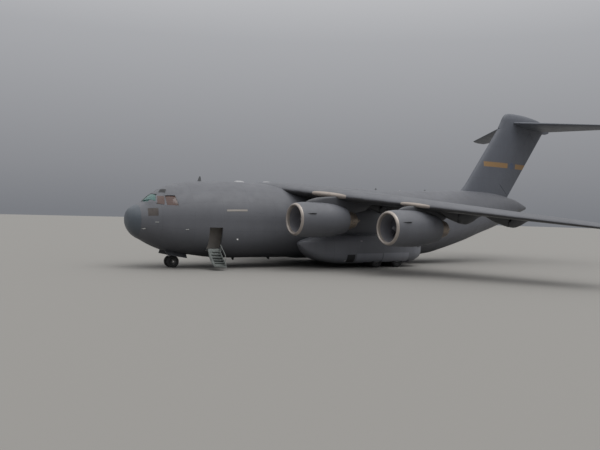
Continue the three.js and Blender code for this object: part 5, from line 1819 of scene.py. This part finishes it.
def pod_details():
    for side, mirror in SIDES:
        form = pod_form(-1)
        build = Build()
        for x0, x1, z0, z1, key in POD_PLATES:
            corners = [form.side_point(x, z) for x, z in ((x0, z1), (x1, z1), (x1, z0), (x0, z0))]
            plate(build, corners, key, mirror, 0.008, form)
        build.finish(f"gear_pod_{side}_panels", slot="belly_paint")


LIGHT_SPAN = 24.7
LIGHT_SIDE = [(-0.12, 0.01), (-0.09, 0.05), (0, 0.075), (0.12, 0.08), (0.2, 0.05)]


def wing_lights():
    for side, mirror, key in (("left", 1, "red_lens"), ("right", -1, "green_lens")):
        build = Build()
        place = (wing_point(LIGHT_SPAN, 0) + [0.05, 0, 0]) * (1, mirror, 1)
        build.turned(LIGHT_SIDE, place, "x", key, 24)
        build.finish(f"wing_light_{side}", slot="tinted_glass")


# Cabin, door and other parts that keep the model's own form


def dressed(node, key, sharp=30):
    """The CAD node's own form in a material of the scene."""
    bm = cad_copy(node)
    mesh = bpy.data.meshes.new(f"{node}_form")
    bm.to_mesh(mesh)
    bm.free()
    made = finish_piece(f"{node}_form", mesh, [key], cad_body(node), sharp=sharp)
    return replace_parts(made, node)


# Crew door: opening along x and z, degrees open, and the rail's place and height over the steps
DOOR = {
    "front": 5.96, "rear": 7.08, "sill": 1.53, "top": 3.45, "open": 112, "out": 0.02,
    "rail_x": 7.0, "height": 0.85,
}
TREADS = (0.32, 0.64, 0.96, 1.28, 1.6, 1.88)  # distances out from the sill
TREAD = {"over": 0.13, "half": 0.11, "thick": 0.012, "inset": 0.1}
RAIL_POINTS = (0.56, 1.2, 1.85)


def door_place(x, share, height):
    """A point of the open crew door: share metres out from the sill along it, and height above it."""
    sill = FUSELAGE.side_point(DOOR["rear"], DOOR["sill"]) - [0, DOOR["out"], 0]
    foot = FUSELAGE.side_point((DOOR["front"] + DOOR["rear"]) / 2, DOOR["top"])
    along = (foot - sill)[1:] / np.linalg.norm((foot - sill)[1:])
    c, s = math.cos(math.radians(DOOR["open"])), math.sin(math.radians(DOOR["open"]))
    y, z = along[0] * c - along[1] * s, along[0] * s + along[1] * c
    return np.array([x, sill[1] + share * y, sill[2] + share * z + height])


def crew_door():
    """Door with its steps, the treads' grips and the rails."""
    dressed("crew_door", "stair")
    build = Build()
    for share in TREADS:
        _, y, z = door_place(0, share, TREAD["over"])
        low = (DOOR["front"] + TREAD["inset"], y - TREAD["half"], z - TREAD["thick"] / 2)
        high = (DOOR["rear"] - TREAD["inset"], y + TREAD["half"], z + TREAD["thick"] / 2)
        build.block(low, high, "tread", 0.003)
    rail = [door_place(DOOR["rail_x"], share, DOOR["height"]) for share in RAIL_POINTS]
    build.tube([*rail, door_place(DOOR["rail_x"], 1.93, 0.5)], 0.03, "rail")
    build.finish("crew_door_rail", "crew_door", "stair_paint")


# Fittings in rows across the cabin: middles across, half width, x from and to, z from and to, edge, material
FITTINGS = [
    ((-1.74,), 0.04, (5.5, 8.2), (1.64, 3.7), 0.012, "trim"),
    ((-1.6, -0.9, 0.9, 1.6), 0.06, (8.6, 29.2), (1.62, 1.67), 0.012, "rail"),
    ((-0.64, 0.64), 0.24, (2.52, 3.0), (4.56, 4.66), 0.03, "cushion"),
    ((-0.64, 0.64), 0.22, (2.9, 2.98), (4.7, 5.2), 0.03, "cushion"),
    ((-0.64, 0.64), 0.13, (2.96, 3.06), (5.24, 5.42), 0.03, "cushion"),
    ((-1.05, -0.5, 0, 0.5, 1.05), 0.17, (1.9, 1.915), (4.66, 4.94), 0.004, "screen"),
]


def cabin():
    """Entry wall, floor with roller rails, flight deck with seats and screens, and the nose gear's doors."""
    dressed("cargo_floor", "floor")
    dressed("flight_deck", "trim")
    build = Build()
    for middles, half, (front, rear), (low, high), soft, key in FITTINGS:
        for y in middles:
            build.block((front, y - half, low), (rear, y + half, high), key, soft)
    build.finish("cabin_fittings", slot="interior_trim")
    for side in ("left", "right"):
        dressed(f"nose_gear_door_{side}", "pod")


# Studio

FLOOR_SIZE = 600
FLOOR_COLOR = (0.25, 0.242, 0.228)
# The sky's colours from the horizon up: height, colour
SKY = [
    (0, (0.16, 0.167, 0.182, 1)),
    (0.07, (0.21, 0.215, 0.23, 1)),
    (0.27, (0.325, 0.33, 0.345, 1)),
    (0.85, (1, 1, 1, 1)),
]
SKY_STRENGTH = 1.2
SUN = {"strength": 1.1, "size": 50, "turn": (25, 12, 0)}  # size and turn in degrees

def studio_floor():
    bpy.ops.mesh.primitive_plane_add(size=FLOOR_SIZE, location=(0, 0, 0))
    floor = bpy.context.object
    floor.name = "studio_floor"
    floor.data.materials.append(material("studio_floor", FLOOR_COLOR, 0.9)[0])


def overcast_sky():
    """Light from all round, dim at the horizon and white overhead."""
    world = bpy.data.worlds.new("studio")
    bpy.context.scene.world = world
    world.use_nodes = True
    nodes, links = world.node_tree.nodes, world.node_tree.links
    place = nodes.new("ShaderNodeTexCoord")
    split = nodes.new("ShaderNodeSeparateXYZ")
    ramp = nodes.new("ShaderNodeValToRGB")
    stops = ramp.color_ramp.elements
    stops[0].position, stops[0].color = SKY[0]
    stops[1].position, stops[1].color = SKY[-1]
    for height, color in SKY[1:-1]:
        stops.new(height).color = color
    links.new(place.outputs["Generated"], split.inputs[0])
    links.new(split.outputs["Z"], ramp.inputs[0])
    links.new(ramp.outputs[0], nodes["Background"].inputs["Color"])
    nodes["Background"].inputs["Strength"].default_value = SKY_STRENGTH


def overcast_sun():
    light = bpy.data.lights.new("overcast_sun", "SUN")
    light.energy = SUN["strength"]
    light.angle = math.radians(SUN["size"])
    sun = bpy.data.objects.new("overcast_sun", light)
    sun.rotation_euler = [math.radians(turn) for turn in SUN["turn"]]
    bpy.context.scene.collection.objects.link(sun)


def studio():
    """Pale floor and soft overcast light."""
    studio_floor()
    overcast_sky()
    overcast_sun()
    bpy.context.scene.view_settings.view_transform = "Standard"


def photo_camera():
    yaw, pitch, roll = (math.radians(CAMERA[key]) for key in ("yaw", "pitch", "roll"))
    ahead = Vector((math.cos(pitch) * math.cos(yaw), math.cos(pitch) * math.sin(yaw), math.sin(pitch)))
    right = Vector((math.sin(yaw), -math.cos(yaw), 0))
    up = right.cross(ahead)
    tilted_right = right * math.cos(roll) + up * math.sin(roll)
    tilted_up = up * math.cos(roll) - right * math.sin(roll)
    data = bpy.data.cameras.new("photo_camera")
    data.sensor_width = SENSOR
    data.lens = CAMERA["focal"] / PHOTO_WIDTH * SENSOR
    data.clip_end = 2000
    made = bpy.data.objects.new("photo_camera", data)
    matrix = made.matrix_world.to_3x3()
    matrix.col[0], matrix.col[1], matrix.col[2] = tilted_right, tilted_up, -ahead
    made.matrix_world = matrix.to_4x4()
    made.location = at(*CAMERA["place"])
    bpy.context.scene.collection.objects.link(made)
    bpy.context.scene.camera = made


photo_camera()
studio()
fuselage()
gear_pods()
flying_surfaces()
engines()
main_gear()
nose_gear()
flap_fairings()
windows()
hull_details()
pod_details()
wing_lights()
crew_door()
cabin()
